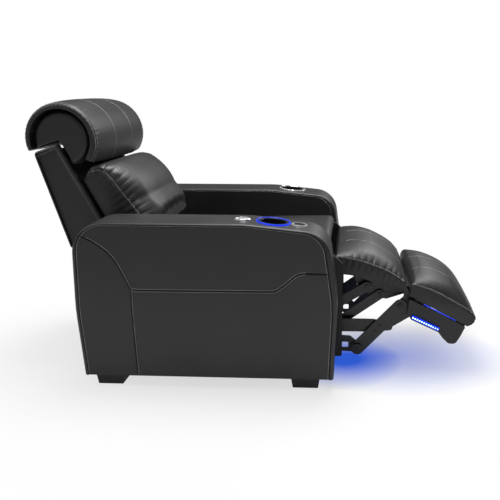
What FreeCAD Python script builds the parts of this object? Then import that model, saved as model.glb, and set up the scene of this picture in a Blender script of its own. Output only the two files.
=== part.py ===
import FreeCAD
import Part
import Sketcher
import math
import os
from FreeCAD import Placement, Rotation, Vector

# Power recliner seat, in millimetres. +Z is up, the sitter faces -Y and the sitter's right arm is at -X.
# Side outlines are written as (fore, height): fore is counted forwards from a plane inside the seat.
# The chair stands as it is photographed: footrest out, back half reclined, headrest down.

SIZES = {
    "fore_datum": 171.3, "half_width": 470.7, "arm_width": 178.5, "arm_bottom": 43, "arm_top": 628,
    "panel_thickness": 22, "board_thickness": 18, "edge_round": 14, "panel_round": 9,
    "foot_width": 120, "foot_outer": 450, "batten": 40,
    "cup_centre": 380.7, "cup_radius": 45.5, "cup_depth": 72, "cup_wall": 1.5, "cup_flange": 57,
    "cup_ring": 63, "cup_fore": 262, "arm_slope": 5.87,
    "button_radius": 22, "bezel_radius": 29, "recline_button_fore": 150, "footrest_button_fore": 356,
    "side_plate_outer": 292.2, "side_plate_thickness": 16, "vent_radius": 45,
    "spring_wire": 2, "spring_bend": 16, "spring_run": 20,
    "hinge_plate_thickness": 6, "hinge_pin_radius": 8, "hinge_fore": -360, "hinge_height": 440,
    "wing_outer": 280.7, "wing_thickness": 30, "frame_plate": 6, "frame_tube_radius": 11,
    "back_cushion_half": 270, "seat_cushion_half": 288, "pad_half": 270.7,
    "headrest_half": 281, "headrest_radius": 128, "core_radius": 101, "core_half": 268,
    "headrest_fore": -544, "headrest_height": 900, "tilt_fore": -480, "tilt_height": 838,
    "tilt_ear": 200, "tilt_ear_thickness": 8, "tilt_pin_reach": 26,
    "link_plane": 240, "bracket_plane": 228, "stay_plane": 216, "lower_stay_plane": 204,
    "calf_plane": 192, "plate": 6, "pin_radius": 6, "pin_play": 0.3, "knob_radius": 21,
    "link_width": 27, "stay_width": 19, "rail_height": 35, "rail_length": 638, "rail_lip": 16,
    "rail_front": 448, "rail_bottom": 70,
    "block_height": 25, "actuator_radius": 20, "rod_radius": 10, "light_bar": 9, "light_carrier": 258,
    "calf_board_half": 214, "foot_board_half": 250,
}

RIGHT, LEFT = -1, 1
STATIONS = (1.0, 0.95, 0.84, 0.68, 0.46, 0.23, 0.0)

KNEE = (573, 73)
LINK_TOP = (740, 254)
FOOT_HINGE = (763, 310)
ROCKER_LOW = (698.1, 164)
ROCKER_TOP = (784, 219)
UPPER_BOLT = (608, 325)
UPPER_PIN = (440, 223)
LOWER_BOLT = (660, 289)
LOWER_PIN = (470, 152)
CRANK = (-430, 330)
MOTOR_PIVOT = (-240, 112)
TOP_TUBE = (-590, 835)

doc = FreeCAD.newDocument("cinema_recliner")
sheet = doc.addObject("Spreadsheet::Sheet", "sizes")
for row, (alias, value) in enumerate(SIZES.items(), 1):
    sheet.set("A%d" % row, alias)
    sheet.set("B%d" % row, str(value))
    sheet.setAlias("B%d" % row, alias)
doc.recompute()

nodes = []


def size(alias):
    return float(sheet.get(alias))


DATUM = size("fore_datum")
HALF = size("half_width")
TOP = size("arm_top")
BOTTOM = size("arm_bottom")


def at(fore, height, x=0.0):
    return Vector(x, DATUM - fore, height)


def node(item, name):
    item.Label = name
    nodes.append(item)
    return item


def bind(item, **formulas):
    for key, formula in formulas.items():
        item.setExpression(key.replace("__", "."), formula)
    return item


# Straight runs joined by arcs that touch both of them; each corner is (fore, height, radius).
def roundedOutline(corners):
    points = [Vector(DATUM - c[0], c[1], 0) for c in corners]
    radii = [c[2] if len(c) > 2 else 0 for c in corners]
    count = len(points)
    starts, ends, middles = [], [], []
    for i, corner in enumerate(points):
        back = (points[i - 1] - corner).normalize()
        on = (points[(i + 1) % count] - corner).normalize()
        half = back.getAngle(on) / 2
        if radii[i] == 0:
            starts.append(corner)
            ends.append(corner)
            middles.append(None)
            continue
        run = radii[i] / math.tan(half)
        centre = corner + (back + on).normalize() * (radii[i] / math.sin(half))
        starts.append(corner + back * run)
        ends.append(corner + on * run)
        middles.append(centre + (corner - centre).normalize() * radii[i])
    pieces = []
    for i in range(count):
        if middles[i] is not None:
            pieces.append(Part.Arc(starts[i], middles[i], ends[i]))
        following = starts[(i + 1) % count]
        if ends[i].distanceToPoint(following) > 0.01:
            pieces.append(Part.LineSegment(ends[i], following))
    return pieces


def sketchOn(body, role, label):
    sketch = body.newObject("Sketcher::SketchObject", label)
    plane = [item for item in body.Origin.OriginFeatures if item.Role == role][0]
    sketch.AttachmentSupport = (plane, [""])
    sketch.MapMode = "FlatFace"
    return sketch


def drawOutline(sketch, corners):
    sketch.addGeometry(roundedOutline(corners), False)


def drawHole(sketch, place, radius):
    index = sketch.addGeometry(Part.Circle(Vector(DATUM - place[0], place[1], 0), Vector(0, 0, 1), 5), False)
    constraint = sketch.addConstraint(Sketcher.Constraint("Radius", index, size("pin_radius")))
    name = "hole_%d" % index
    sketch.renameConstraint(constraint, name)
    sketch.setExpression("Constraints." + name, radius)


def newBody(name):
    return doc.addObject("PartDesign::Body", name)


# A flat piece cut to a side outline; outer is the distance from the middle to its outer face.
def plate(name, corners, thickness, outer, side=RIGHT, holes=(), windows=()):
    body = newBody(name)
    sketch = sketchOn(body, "YZ_Plane", name + "_outline")
    drawOutline(sketch, corners)
    for window in windows:
        drawOutline(sketch, window)
    for place, radius in holes:
        drawHole(sketch, place, radius)
    pad = body.newObject("PartDesign::Pad", name + "_pad")
    pad.Profile = sketch
    pad.setExpression("Length", thickness)
    place = "-(%s)" % outer if side == RIGHT else "(%s) - (%s)" % (outer, thickness)
    body.setExpression("Placement.Base.x", place)
    doc.recompute()
    return body


def pickEdges(item, wanted):
    return ["Edge%d" % (i + 1) for i, edge in enumerate(item.Shape.Edges) if wanted(edge)]


def roundEdges(body, radius, wanted):
    base = body.Tip
    fillet = body.newObject("PartDesign::Fillet", body.Name + "_round")
    fillet.Base = (base, pickEdges(base, wanted))
    fillet.setExpression("Radius", radius)
    doc.recompute()
    return fillet


def group(name, pieces):
    compound = doc.addObject("Part::Compound", name)
    compound.Links = pieces
    return node(compound, name)


def fused(name, pieces):
    fuse = doc.addObject("Part::MultiFuse", name)
    fuse.Shapes = pieces
    fuse.Refine = True
    return fuse


def cut(name, base, tool):
    result = doc.addObject("Part::Cut", name)
    result.Base = base
    result.Tool = tool
    return result


def box(name, length, width, height, x, fore, z):
    item = doc.addObject("Part::Box", name)
    bind(item, Length=str(length), Width=str(width), Height=str(height))
    bind(item, Placement__Base__x=str(x), Placement__Base__y="sizes.fore_datum - (%s)" % fore)
    return bind(item, Placement__Base__z=str(z))


# A round bar across the chair, from the x of its start to its length.
def crossBar(name, radius, length, x, place):
    item = doc.addObject("Part::Cylinder", name)
    bind(item, Radius=str(radius), Height=str(length))
    item.Placement = Placement(Vector(0, DATUM - place[0], place[1]), Rotation(Vector(0, 1, 0), 90))
    return bind(item, Placement__Base__x=str(x))


# The same bar on one side: outer and inner are distances from the middle.
def pin(name, radius, outer, inner, place, side):
    start = "-(%s)" % outer if side == RIGHT else "(%s)" % inner
    return crossBar(name, radius, "(%s) - (%s)" % (outer, inner), start, place)


def revolved(name, profile):
    body = newBody(name)
    sketch = sketchOn(body, "XZ_Plane", name + "_profile")
    points = [Vector(r, z, 0) for r, z in profile]
    for i, start in enumerate(points):
        sketch.addGeometry(Part.LineSegment(start, points[(i + 1) % len(points)]), False)
    turn = body.newObject("PartDesign::Revolution", name + "_turn")
    turn.Profile = sketch
    turn.ReferenceAxis = (sketch, ["V_Axis"])
    turn.Angle = 360
    doc.recompute()
    return body


def feature(name, shape):
    item = doc.addObject("Part::Feature", name)
    item.Shape = shape
    return item


# One closed section of a soft piece at x: corners joined by arcs, each swelling outwards by its bulge.
def softSection(x, corners, bulges):
    points = [at(c[0], c[1], x) for c in corners]
    middle = Vector(0, 0, 0)
    for point in points:
        middle += point * (1.0 / len(points))
    edges = []
    for i, start in enumerate(points):
        end = points[(i + 1) % len(points)]
        if abs(bulges[i]) < 0.05:
            edges.append(Part.makeLine(start, end))
            continue
        along = (end - start).normalize()
        outward = along.cross(Vector(1, 0, 0))
        centre = (start + end) * 0.5
        if outward.dot(centre - middle) < 0:
            outward = outward * -1
        edges.append(Part.Arc(start, centre + outward * bulges[i], end).toShape())
    return Part.Wire(edges)


# Sections on both sides of the middle from one rule: rule(t) gives corners and bulges, t is 0 at the edge.
def cushion(name, half, stations, rule, reliefs=()):
    wires = []
    for share in stations:
        corners, bulges = rule(1 - share)
        wires.append(softSection(-half * share, corners, bulges))
    for share in reversed(stations[:-1]):
        corners, bulges = rule(1 - share)
        wires.append(softSection(half * share, corners, bulges))
    shape = Part.makeLoft(wires, True, False)
    for relief in reliefs:
        shape = shape.cut(relief)
    return node(feature(name, shape), name)


def swell(t):
    return math.sqrt(max(0.0, 1 - (1 - t) ** 2.6))


def shifted(corner, amount, direction):
    return (corner[0] + amount * direction[0], corner[1] + amount * direction[1])


# Arms: a crowned band over a plywood box, with a padded panel on each face.
def armOutline(inset, low):
    top = TOP - inset * 0.45
    return [(-452 + inset, low), (-465 + inset, 300, 900), (-452 + inset, top, 120 - inset),
            (170, top, 500), (462 - inset, top - 30, 107 - inset), (497 - inset, 330, 600),
            (484 - inset, low)]


def sideFaceEdge(edge):
    ends = [v.Point for v in edge.Vertexes]
    across = abs(ends[0].x - ends[-1].x) < 0.01
    low = max(point.z for point in ends) < BOTTOM + 1
    return across and not low


def armSide(side, label):
    outer = "sizes.half_width"
    seam = size("edge_round") + 2
    cover = plate(label + "_arm_shell", armOutline(0, BOTTOM), "sizes.arm_width", outer, side)
    roundEdges(cover, "sizes.edge_round", sideFaceEdge)
    hollow = sketchOn(cover, "YZ_Plane", label + "_arm_hollow")
    drawOutline(hollow, armOutline(seam, BOTTOM - 30))
    pocket = cover.newObject("PartDesign::Pocket", label + "_arm_pocket")
    pocket.Profile = hollow
    pocket.Type = "ThroughAll"
    pocket.Midplane = True
    doc.recompute()
    drills = [armDrill(label, side, "cup_fore", "sizes.cup_radius + sizes.cup_wall + 0.2", size("arm_slope"))]
    if side == RIGHT:
        hole = "sizes.button_radius + 4.2"
        drills.append(armDrill(label + "_recline", side, "recline_button_fore", hole, 0))
        drills.append(armDrill(label + "_footrest", side, "footrest_button_fore", hole, size("arm_slope")))
    holes = fused(label + "_arm_drills", drills) if len(drills) > 1 else drills[0]
    node(cut(label + "_arm_band", cover, holes), label + "_arm_cover")

    outline = armOutline(seam + 0.3, BOTTOM)
    panel = plate(label + "_side_panel", outline, "sizes.panel_thickness", outer, side)
    face = side * HALF
    roundEdges(panel, "sizes.panel_round", lambda edge: sideFaceEdge(edge) and nearFace(edge, panel, face))
    node(panel, label + "_side_panel")

    inner = "sizes.half_width - sizes.arm_width + sizes.panel_thickness"
    lining = plate(label + "_inner_panel", outline, "sizes.panel_thickness", inner, side)
    face = side * (HALF - size("arm_width"))
    roundEdges(lining, "sizes.panel_round", lambda edge: sideFaceEdge(edge) and nearFace(edge, lining, face))
    node(lining, label + "_inner_panel")

    armFrame(side, label, armOutline(seam, BOTTOM))


def nearFace(edge, body, x):
    local = x - body.Placement.Base.x
    return abs(edge.Vertexes[0].Point.x - local) < 0.01


def armDrill(label, side, fore, radius, slope):
    drill = doc.addObject("Part::Cylinder", label + "_arm_drill")
    bind(drill, Radius=radius, Height="60")
    drill.Placement = armTopPlace(side, size(fore), slope, -40)
    return drill


# A frame on top of the arm: its Z axis stands square on the leather.
def armTopPlace(side, fore, slope, rise):
    height = TOP - max(0.0, fore - 170) * 30 / 292
    turn = Rotation(Vector(1, 0, 0), slope)
    base = at(fore, height, side * size("cup_centre")) + turn.multVec(Vector(0, 0, rise))
    return Placement(base, turn)


def armFrame(side, label, outline):
    board = "sizes.board_thickness"
    outside = plate(label + "_outer_board", outline, board, "sizes.half_width - sizes.panel_thickness",
                    side)
    inner = "sizes.half_width - sizes.arm_width + sizes.panel_thickness + sizes.board_thickness"
    inside = plate(label + "_inner_board", outline, board, inner, side)
    gap = "sizes.arm_width - 2 * sizes.panel_thickness - 2 * sizes.board_thickness"
    start = "-(sizes.half_width - sizes.panel_thickness - sizes.board_thickness)"
    if side == LEFT:
        start = inner
    battens = [(-410, 60), (-140, 60), (150, 60), (425, 60), (-395, 540), (-120, 540), (60, 540)]
    pieces = [outside, inside]
    for number, (fore, height) in enumerate(battens):
        name = "%s_batten_%d" % (label, number)
        pieces.append(box(name, gap, "sizes.batten", "sizes.batten", start,
                          "%d + sizes.batten / 2" % fore, height))
    node(fused(label + "_arm_frame", pieces), label + "_arm_frame")


def feet():
    blocks = []
    for side, label in ((RIGHT, "right"), (LEFT, "left")):
        for end, rear, front in (("rear", -416, -307), ("front", 324, 433)):
            outline = [(rear + 7, 0, 3), (front - 7, 0, 3), (front, BOTTOM), (rear, BOTTOM)]
            blocks.append(plate("%s_%s_foot" % (label, end), outline, "sizes.foot_width",
                                "sizes.foot_outer", side))
    group("feet", blocks)


# Cup wells and the rings round them
def cupHolders():
    radius, wall = size("cup_radius"), size("cup_wall")
    flange, ring, deep = size("cup_flange"), size("cup_ring"), size("cup_depth")
    for side, label in ((RIGHT, "right"), (LEFT, "left")):
        place = armTopPlace(side, size("cup_fore"), size("arm_slope"), 0)
        profile = [(0, -deep - wall), (radius + wall, -deep - wall), (radius + wall, 0), (flange, 0),
                   (flange, 4), (radius + 1.5, 4), (radius, 2.5), (radius, -deep), (0, -deep)]
        cup = revolved(label + "_cup_holder", profile)
        cup.Placement = place
        node(cup, label + "_cup_holder")
        band = revolved(label + "_cup_ring", [(flange, 0), (ring, 0), (ring, 2.5), (ring - 2.5, 5.5),
                                              (flange + 1, 5.5), (flange, 4.5)])
        band.Placement = place
        node(band, label + "_cup_ring")


def buttons():
    radius, rim = size("button_radius"), size("bezel_radius")
    for label, slope in (("recline", 0), ("footrest", size("arm_slope"))):
        place = armTopPlace(RIGHT, size(label + "_button_fore"), slope, 0)
        sleeve = [(0, -26), (radius + 4, -26), (radius + 4, 0), (rim, 0), (rim, 1.5), (rim - 2.5, 4),
                  (radius + 1.5, 4), (radius + 0.5, 3), (radius + 0.5, -22), (0, -22)]
        bezel = revolved(label + "_button_bezel", sleeve)
        bezel.Placement = place
        node(bezel, label + "_button_bezel")
        cap = revolved(label + "_button", [(0, -16), (6, -16), (6, -6), (radius, -6), (radius, 2.5),
                                           (radius - 2, 4), (radius - 7, 4.6), (0, 5)])
        cap.Placement = place
        node(cap, label + "_button")


# Seat base between the arms
def seatBase():
    outline = [(-434, 60, 10), (512, 60, 8), (512, 440, 12), (474, 476, 12), (446, 480, 10),
               (150, 405.8, 20), (-320, 405.8, 10), (-335, 300, 20), (-434, 290, 10)]
    vents = [((fore, height), "sizes.vent_radius")
             for fore in (-220, -90, 40, 170, 300) for height in (175, 300)]
    for side, label in ((RIGHT, "right"), (LEFT, "left")):
        board = plate(label + "_seat_side", outline, "sizes.side_plate_thickness",
                      "sizes.side_plate_outer", side, holes=vents)
        node(board, label + "_seat_side")
    inside = "sizes.side_plate_outer - sizes.side_plate_thickness"
    members = []
    between = "2 * (%s)" % inside
    spots = (("rear_lower", -400, 62, 40, 38), ("motor_cross", -270, 62, 40, 36),
             ("spring_rear", -312, 368, 30, 34), ("spring_front", 95, 384, 24, 18))
    for name, rear, low, wide, high in spots:
        members.append(box(name + "_member", between, wide, high, "-(%s)" % inside, rear + wide, low))
    group("cross_members", members)
    springs()

    rails = []
    for side, label in ((RIGHT, "right"), (LEFT, "left")):
        web = box(label + "_rail_web", "4", "sizes.rail_length", "sizes.rail_height",
                  "-(%s)" % inside if side == RIGHT else "%s - 4" % inside, "sizes.rail_front",
                  "sizes.rail_bottom")
        flanges = []
        for level, low in (("low", "sizes.rail_bottom"),
                           ("high", "sizes.rail_bottom + sizes.rail_height - 4")):
            lip = "-(%s)" % inside if side == RIGHT else "%s - sizes.rail_lip" % inside
            flanges.append(box("%s_rail_%s" % (label, level), "sizes.rail_lip", "sizes.rail_length", "4",
                               lip, "sizes.rail_front", low))
        rails.append(fused(label + "_slide_rail", [web] + flanges))
    group("slide_rails", rails)

    outline = [(-446, 45, 6), (-434, 45), (-434, 294), (-446, 294, 6)]
    panel = plate("rear_panel_blank", outline, "2 * sizes.side_plate_outer", "sizes.side_plate_outer", RIGHT)
    node(panel, "rear_panel")
    shell = box("inlet_shell", "44", "6", "32", "-222", "-446", "92")
    recess = box("inlet_recess", "30", "4", "20", "-215", "-448", "98")
    node(cut("inlet_body", shell, recess), "power_inlet")
    supply = box("supply_box", "170", "90", "46", "-240", "-300", "100")
    soft = doc.addObject("Part::Fillet", "supply_round")
    soft.Base = supply
    doc.recompute()
    soft.Edges = [(i + 1, 5, 5) for i, edge in enumerate(supply.Shape.Edges)
                  if abs(edge.Vertexes[0].Z - edge.Vertexes[-1].Z) > 1]
    node(soft, "power_supply")

    hinges = []
    for side, label in ((RIGHT, "right"), (LEFT, "left")):
        ear = plate(label + "_hinge_ear", [(-424, 220, 12), (-300, 220, 12), (-310, 330, 20), (-326, 480, 32),
                                           (-402, 480, 34), (-424, 330, 20)],
                    "sizes.hinge_plate_thickness", inside, side)
        reach = "%s - sizes.hinge_plate_thickness" % inside
        stub = pin(label + "_hinge_stub", "sizes.hinge_pin_radius", reach, "236",
                   (size("hinge_fore"), size("hinge_height")), side)
        hinges.append(fused(label + "_hinge", [ear, stub]))
    group("recline_hinges", hinges)


# Sinuous springs: runs across joined by half-round bends, lying on the two spring members.
def springs():
    wire, bend, run = size("spring_wire"), size("spring_bend"), size("spring_run")
    rear, front = -300, 116
    bends = int((front - rear) / (2 * bend))
    coils = []
    for x in (-190, -65, 65, 190):
        edges = []
        start = at(rear, 402, x - run / 2)
        for number in range(bends):
            sign = 1 if number % 2 == 0 else -1
            corner = start + Vector(sign * run, 0, 0)
            end = corner + Vector(0, -2 * bend, 0)
            edges.append(Part.makeLine(start, corner))
            edges.append(Part.Arc(corner, corner + Vector(sign * bend, -bend, 0), end).toShape())
            start = end
        strip = Part.Wire(edges).makeOffset2D(wire, 0, True, False)
        coils.append(strip.extrude(Vector(0, 0, 2 * wire)))
    node(feature("spring_set", Part.makeCompound(coils)), "seat_springs")


def seatCushion():
    def rule(t):
        rise = 22 * swell(t)
        tuck = 12 * (1 - swell(min(1.0, 6 * t)))
        corners = [(-312, 406.2), (150, 406.2), (452, 482), (466 - tuck, 499),
                   (440 - tuck, 510 - tuck + rise * 0.6), (-300, 468 - tuck + rise * 0.5)]
        return corners, [0, 0, 3, 5, 6 + rise * 0.4, 3]
    cushion("seat_cushion", size("seat_cushion_half"), STATIONS, rule)


# Footrest drive: a motor and a hollow tube on the seat base, with its rod on the carriage
def footrestActuator():
    tube = doc.addObject("Part::Cylinder", "actuator_tube")
    bind(tube, Radius="sizes.actuator_radius", Height="362")
    tube.Placement = Placement(at(150, 125), Rotation(Vector(1, 0, 0), -90))
    bore = doc.addObject("Part::Cylinder", "actuator_bore")
    bind(bore, Radius="sizes.rod_radius + sizes.pin_play", Height="330")
    bore.Placement = Placement(at(150.5, 125), Rotation(Vector(1, 0, 0), -90))
    head = box("actuator_motor", "70", "80", "56", "-35", "-210", "100")
    node(cut("actuator_hollow", fused("actuator_solid", [tube, head]), bore), "footrest_actuator")
    rod = doc.addObject("Part::Cylinder", "actuator_rod_bar")
    bind(rod, Radius="sizes.rod_radius", Height="335")
    rod.Placement = Placement(at(435, 125), Rotation(Vector(1, 0, 0), -90))
    lug = plate("actuator_lug", [(435, 98), (465, 98), (465, 140, 12), (435, 140, 12)], "24", "12", RIGHT)
    node(fused("actuator_rod_piece", [rod, lug]), "actuator_rod")


# The recline motor leans back from the seat base to the crank on the back frame.
def reclineActuator():
    run = at(*CRANK) - at(*MOTOR_PIVOT)
    turn = Rotation(Vector(0, 0, 1), run)
    start = at(*MOTOR_PIVOT, x=125)

    def along(name, radius, length, offset):
        item = doc.addObject("Part::Cylinder", name)
        bind(item, Radius=str(radius), Height=str(length))
        item.Placement = Placement(start + turn.multVec(Vector(0, 0, offset)), turn)
        return item
    case = along("recline_tube", 17, 190, 10)
    drive = along("recline_drive", 22, 95, 30)
    drive.Placement.Base = drive.Placement.Base + turn.multVec(Vector(0, 36, 0))
    neck = doc.addObject("Part::Box", "recline_neck")
    bind(neck, Length="34", Width="40", Height="30")
    neck.Placement = Placement(start + turn.multVec(Vector(-17, 0, 30)), turn)
    eye = crossBar("recline_eye", 13, 30, 110, MOTOR_PIVOT)
    bore = along("recline_bore", 9.3, 170, 40)
    eyeBore = crossBar("recline_eye_bore", "sizes.pin_radius + sizes.pin_play", 32, 109, MOTOR_PIVOT)
    solid = fused("recline_case", [case, drive, neck, eye])
    node(cut("recline_case_bored", solid, fused("recline_bores", [bore, eyeBore])), "recline_motor")
    length = run.Length
    rod = along("recline_rod_bar", 9, length - 100 - 8, 100)
    end = crossBar("recline_rod_end", 14, 26, 112, CRANK)
    node(fused("recline_rod_piece", [rod, end]), "recline_rod")
    lug = [(-262, 98), (-218, 98), (-228, 126, 10), (-252, 126, 10)]
    ears = [plate("motor_ear_a", lug, "6", "-102", RIGHT), plate("motor_ear_b", lug, "6", "-142", RIGHT)]
    bolt = crossBar("motor_bolt", "sizes.pin_radius", 46, 102, MOTOR_PIVOT)
    node(fused("motor_bracket_piece", ears + [bolt]), "motor_bracket")


# Backrest
def backrest():
    wing = [(-651, 852, 16), (-556, 885, 12), (-480, 738, 200), (-372, 520, 12), (-556, 520, 12)]
    for side, label in ((RIGHT, "right"), (LEFT, "left")):
        panel = plate(label + "_back_wing", wing, "sizes.wing_thickness", "sizes.wing_outer", side)
        roundEdges(panel, "6", lambda edge: abs(edge.Vertexes[0].Point.x - edge.Vertexes[-1].Point.x) < 0.01)
        node(panel, label + "_back_wing")

    hinge = (size("hinge_fore"), size("hinge_height"))
    inside = "sizes.wing_outer - sizes.wing_thickness"
    outline = [(-410, 396, 26), (-330, 400, 32), (-336, 478, 30), (-458, 680, 150), (-568, 862, 10),
               (-628, 842, 10), (-560, 600, 300), (-500, 440, 60)]
    pieces = []
    for side, label in ((RIGHT, "right"), (LEFT, "left")):
        pieces.append(plate(label + "_frame_plate", outline, "sizes.frame_plate", inside, side,
                            holes=[(hinge, "sizes.hinge_pin_radius + sizes.pin_play")]))
    reach = "%s - sizes.frame_plate" % inside
    for number, place in enumerate(((-420, 420), (-470, 560), (-530, 700), TOP_TUBE)):
        pieces.append(crossBar("frame_tube_%d" % number, "sizes.frame_tube_radius", "2 * (%s) + 1" % reach,
                               "-(%s) - 0.5" % reach, place))
    crank = [(-445, 318, 12), (-412, 318, 12), (-405, 430, 8), (-438, 430, 8)]
    pieces.append(plate("crank_plate", crank, "8", "-100", RIGHT))
    node(fused("back_frame_piece", pieces), "back_frame")

    shell = [(-651, 850, 8), (-605, 674, 600), (-556, 520, 600), (-522, 392, 6), (-508, 396, 4),
             (-542, 524, 600), (-591, 678, 600), (-636, 850, 4)]
    cover = plate("rear_shell_blank", shell, "2 * (%s)" % inside, inside, RIGHT)
    node(cover, "rear_shell")

    def rule(t):
        rise = 66 * swell(t)
        tuck = 14 * (1 - swell(min(1.0, 6 * t)))
        lean = (0.89, 0.45)
        corners = [(-378, 548), (-474, 742), (-432, 792 - tuck),
                   shifted((-394, 782 - tuck), rise * 0.75, lean), shifted((-300, 652), rise - tuck, lean),
                   shifted((-242, 552), rise - tuck, (0.98, 0.2))]
        return corners, [0, 2, 6, 10 + rise * 0.10, 6 + rise * 0.05, 4]
    cushion("back_cushion", size("back_cushion_half"), STATIONS, rule)

    ears = []
    tilt = (size("tilt_fore"), size("tilt_height"))
    outline = [(-608, 818, 14), (-560, 806, 10), (-468, 826, 11.8), (-468, 850, 11.8), (-560, 848, 20),
               (-604, 852, 14)]
    outer = "sizes.tilt_ear + sizes.tilt_ear_thickness / 2"
    ends = ("sizes.tilt_ear + sizes.tilt_pin_reach", "sizes.tilt_ear - sizes.tilt_pin_reach")
    for side, label in ((RIGHT, "right"), (LEFT, "left")):
        ear = plate(label + "_tilt_ear", outline, "sizes.tilt_ear_thickness", outer, side,
                    holes=[(TOP_TUBE, "sizes.frame_tube_radius")])
        stub = pin(label + "_tilt_stub", "sizes.pin_radius", *ends, tilt, side)
        ears.append(fused(label + "_tilt_hinge", [ear, stub]))
    group("headrest_hinges", ears)


# Headrest: a round core and a thick roll wrapped over it, open at the bottom of the back
def headrest():
    middle = (size("headrest_fore"), size("headrest_height"))
    radius = size("core_radius")

    def coreShape(round, half):
        disc = Part.makeCylinder(round, 2 * half, at(*middle, x=-half), Vector(1, 0, 0))
        notch = [at(*point, x=-half - 1) for point in ((-720, 838), (-657, 862), (-550, 898), (-493, 790),
                                                       (-460, 700), (-720, 700))]
        tool = Part.Face(Part.makePolygon(notch + notch[:1])).extrude(Vector(2 * half + 2, 0, 0))
        return disc.cut(tool)
    core = coreShape(radius, size("core_half") - 16).fuse(coreShape(radius - 4, size("core_half")))
    slotWidth, reach = 2 * size("tilt_ear_thickness"), size("tilt_pin_reach") + 2
    for side in (RIGHT, LEFT):
        x = side * size("tilt_ear")
        slot = Part.makeBox(slotWidth, 150, 66, Vector(x - slotWidth / 2, DATUM + 440, 786))
        bush = Part.makeCylinder(size("pin_radius") + size("pin_play"), 2 * reach,
                                 at(size("tilt_fore"), size("tilt_height"), x - reach), Vector(1, 0, 0))
        core = core.cut(slot).cut(bush)
    node(feature("headrest_core_shape", core), "headrest_core")

    def polar(round, degrees):
        return (middle[0] + round * math.cos(math.radians(degrees)),
                middle[1] + round * math.sin(math.radians(degrees)))
    wires = []
    inner = radius + 0.2
    for share in (-1.0, -0.96, -0.8, -0.4, 0.0, 0.4, 0.8, 0.96, 1.0):
        full = size("headrest_radius") + 17 * swell(1 - abs(share)) - 6 * (abs(share) == 1.0)
        lip = full + 4
        x = share * size("headrest_half")
        outer = [polar(lip, -38), polar(full + 4, -5), polar(full, 45), polar(full, 90), polar(full, 135),
                 polar(full, 180), polar(full, 199)]
        back = [polar(inner, 199), polar(inner, 150), polar(inner, 100), polar(inner, 50), polar(inner, 0),
                polar(inner, -38)]
        spots = outer + back
        edges = []
        for number, spot in enumerate(spots):
            following = spots[(number + 1) % len(spots)]
            edges.append(wrapEdge(number, spot, following, middle, full, inner, x))
        wires.append(Part.Wire(edges))
    node(feature("headrest_wrap_shape", Part.makeLoft(wires, True, False)), "headrest_wrap")


def wrapEdge(number, spot, following, middle, full, inner, x):
    start, end = at(*spot, x=x), at(*following, x=x)
    centre = at(*middle, x=x)
    half = (start + end) * 0.5
    outward = (half - centre).normalize()
    if number < 6:
        reach = ((start - centre).Length + (end - centre).Length) / 2
        return Part.Arc(start, centre + outward * reach, end).toShape()
    if number == 6 or number == 12:
        along = (end - start).normalize()
        side = along.cross(Vector(1, 0, 0))
        return Part.Arc(start, half + side * 7, end).toShape()
    return Part.Arc(start, centre + outward * inner, end).toShape()


# Footrest linkage
def bar(name, start, end, wide, thickness, outer, side, holes=(), slots=()):
    first, last = Vector(start[0], start[1], 0), Vector(end[0], end[1], 0)
    along = (last - first).normalize()
    across = Vector(-along.y, along.x, 0)
    corners = []
    for point, step in ((first, -1), (last, 1)):
        for hand in ((1, -1) if step == 1 else (-1, 1)):
            spot = point + along * (step * wide) + across * (hand * wide)
            corners.append((spot.x, spot.y, wide * 0.98))
    return plate(name, corners, thickness, outer, side, holes=holes, windows=slots)


def slotOutline(origin, target, near, far, offset, half):
    first, toward = Vector(origin[0], origin[1], 0), Vector(target[0], target[1], 0)
    along = (toward - first).normalize()
    across = Vector(-along.y, along.x, 0)
    corners = []
    for step, hand in ((near, -1), (far, -1), (far, 1), (near, 1)):
        spot = first + along * step + across * (offset + hand * half)
        corners.append((spot.x, spot.y, half * 0.98))
    return corners


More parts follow.
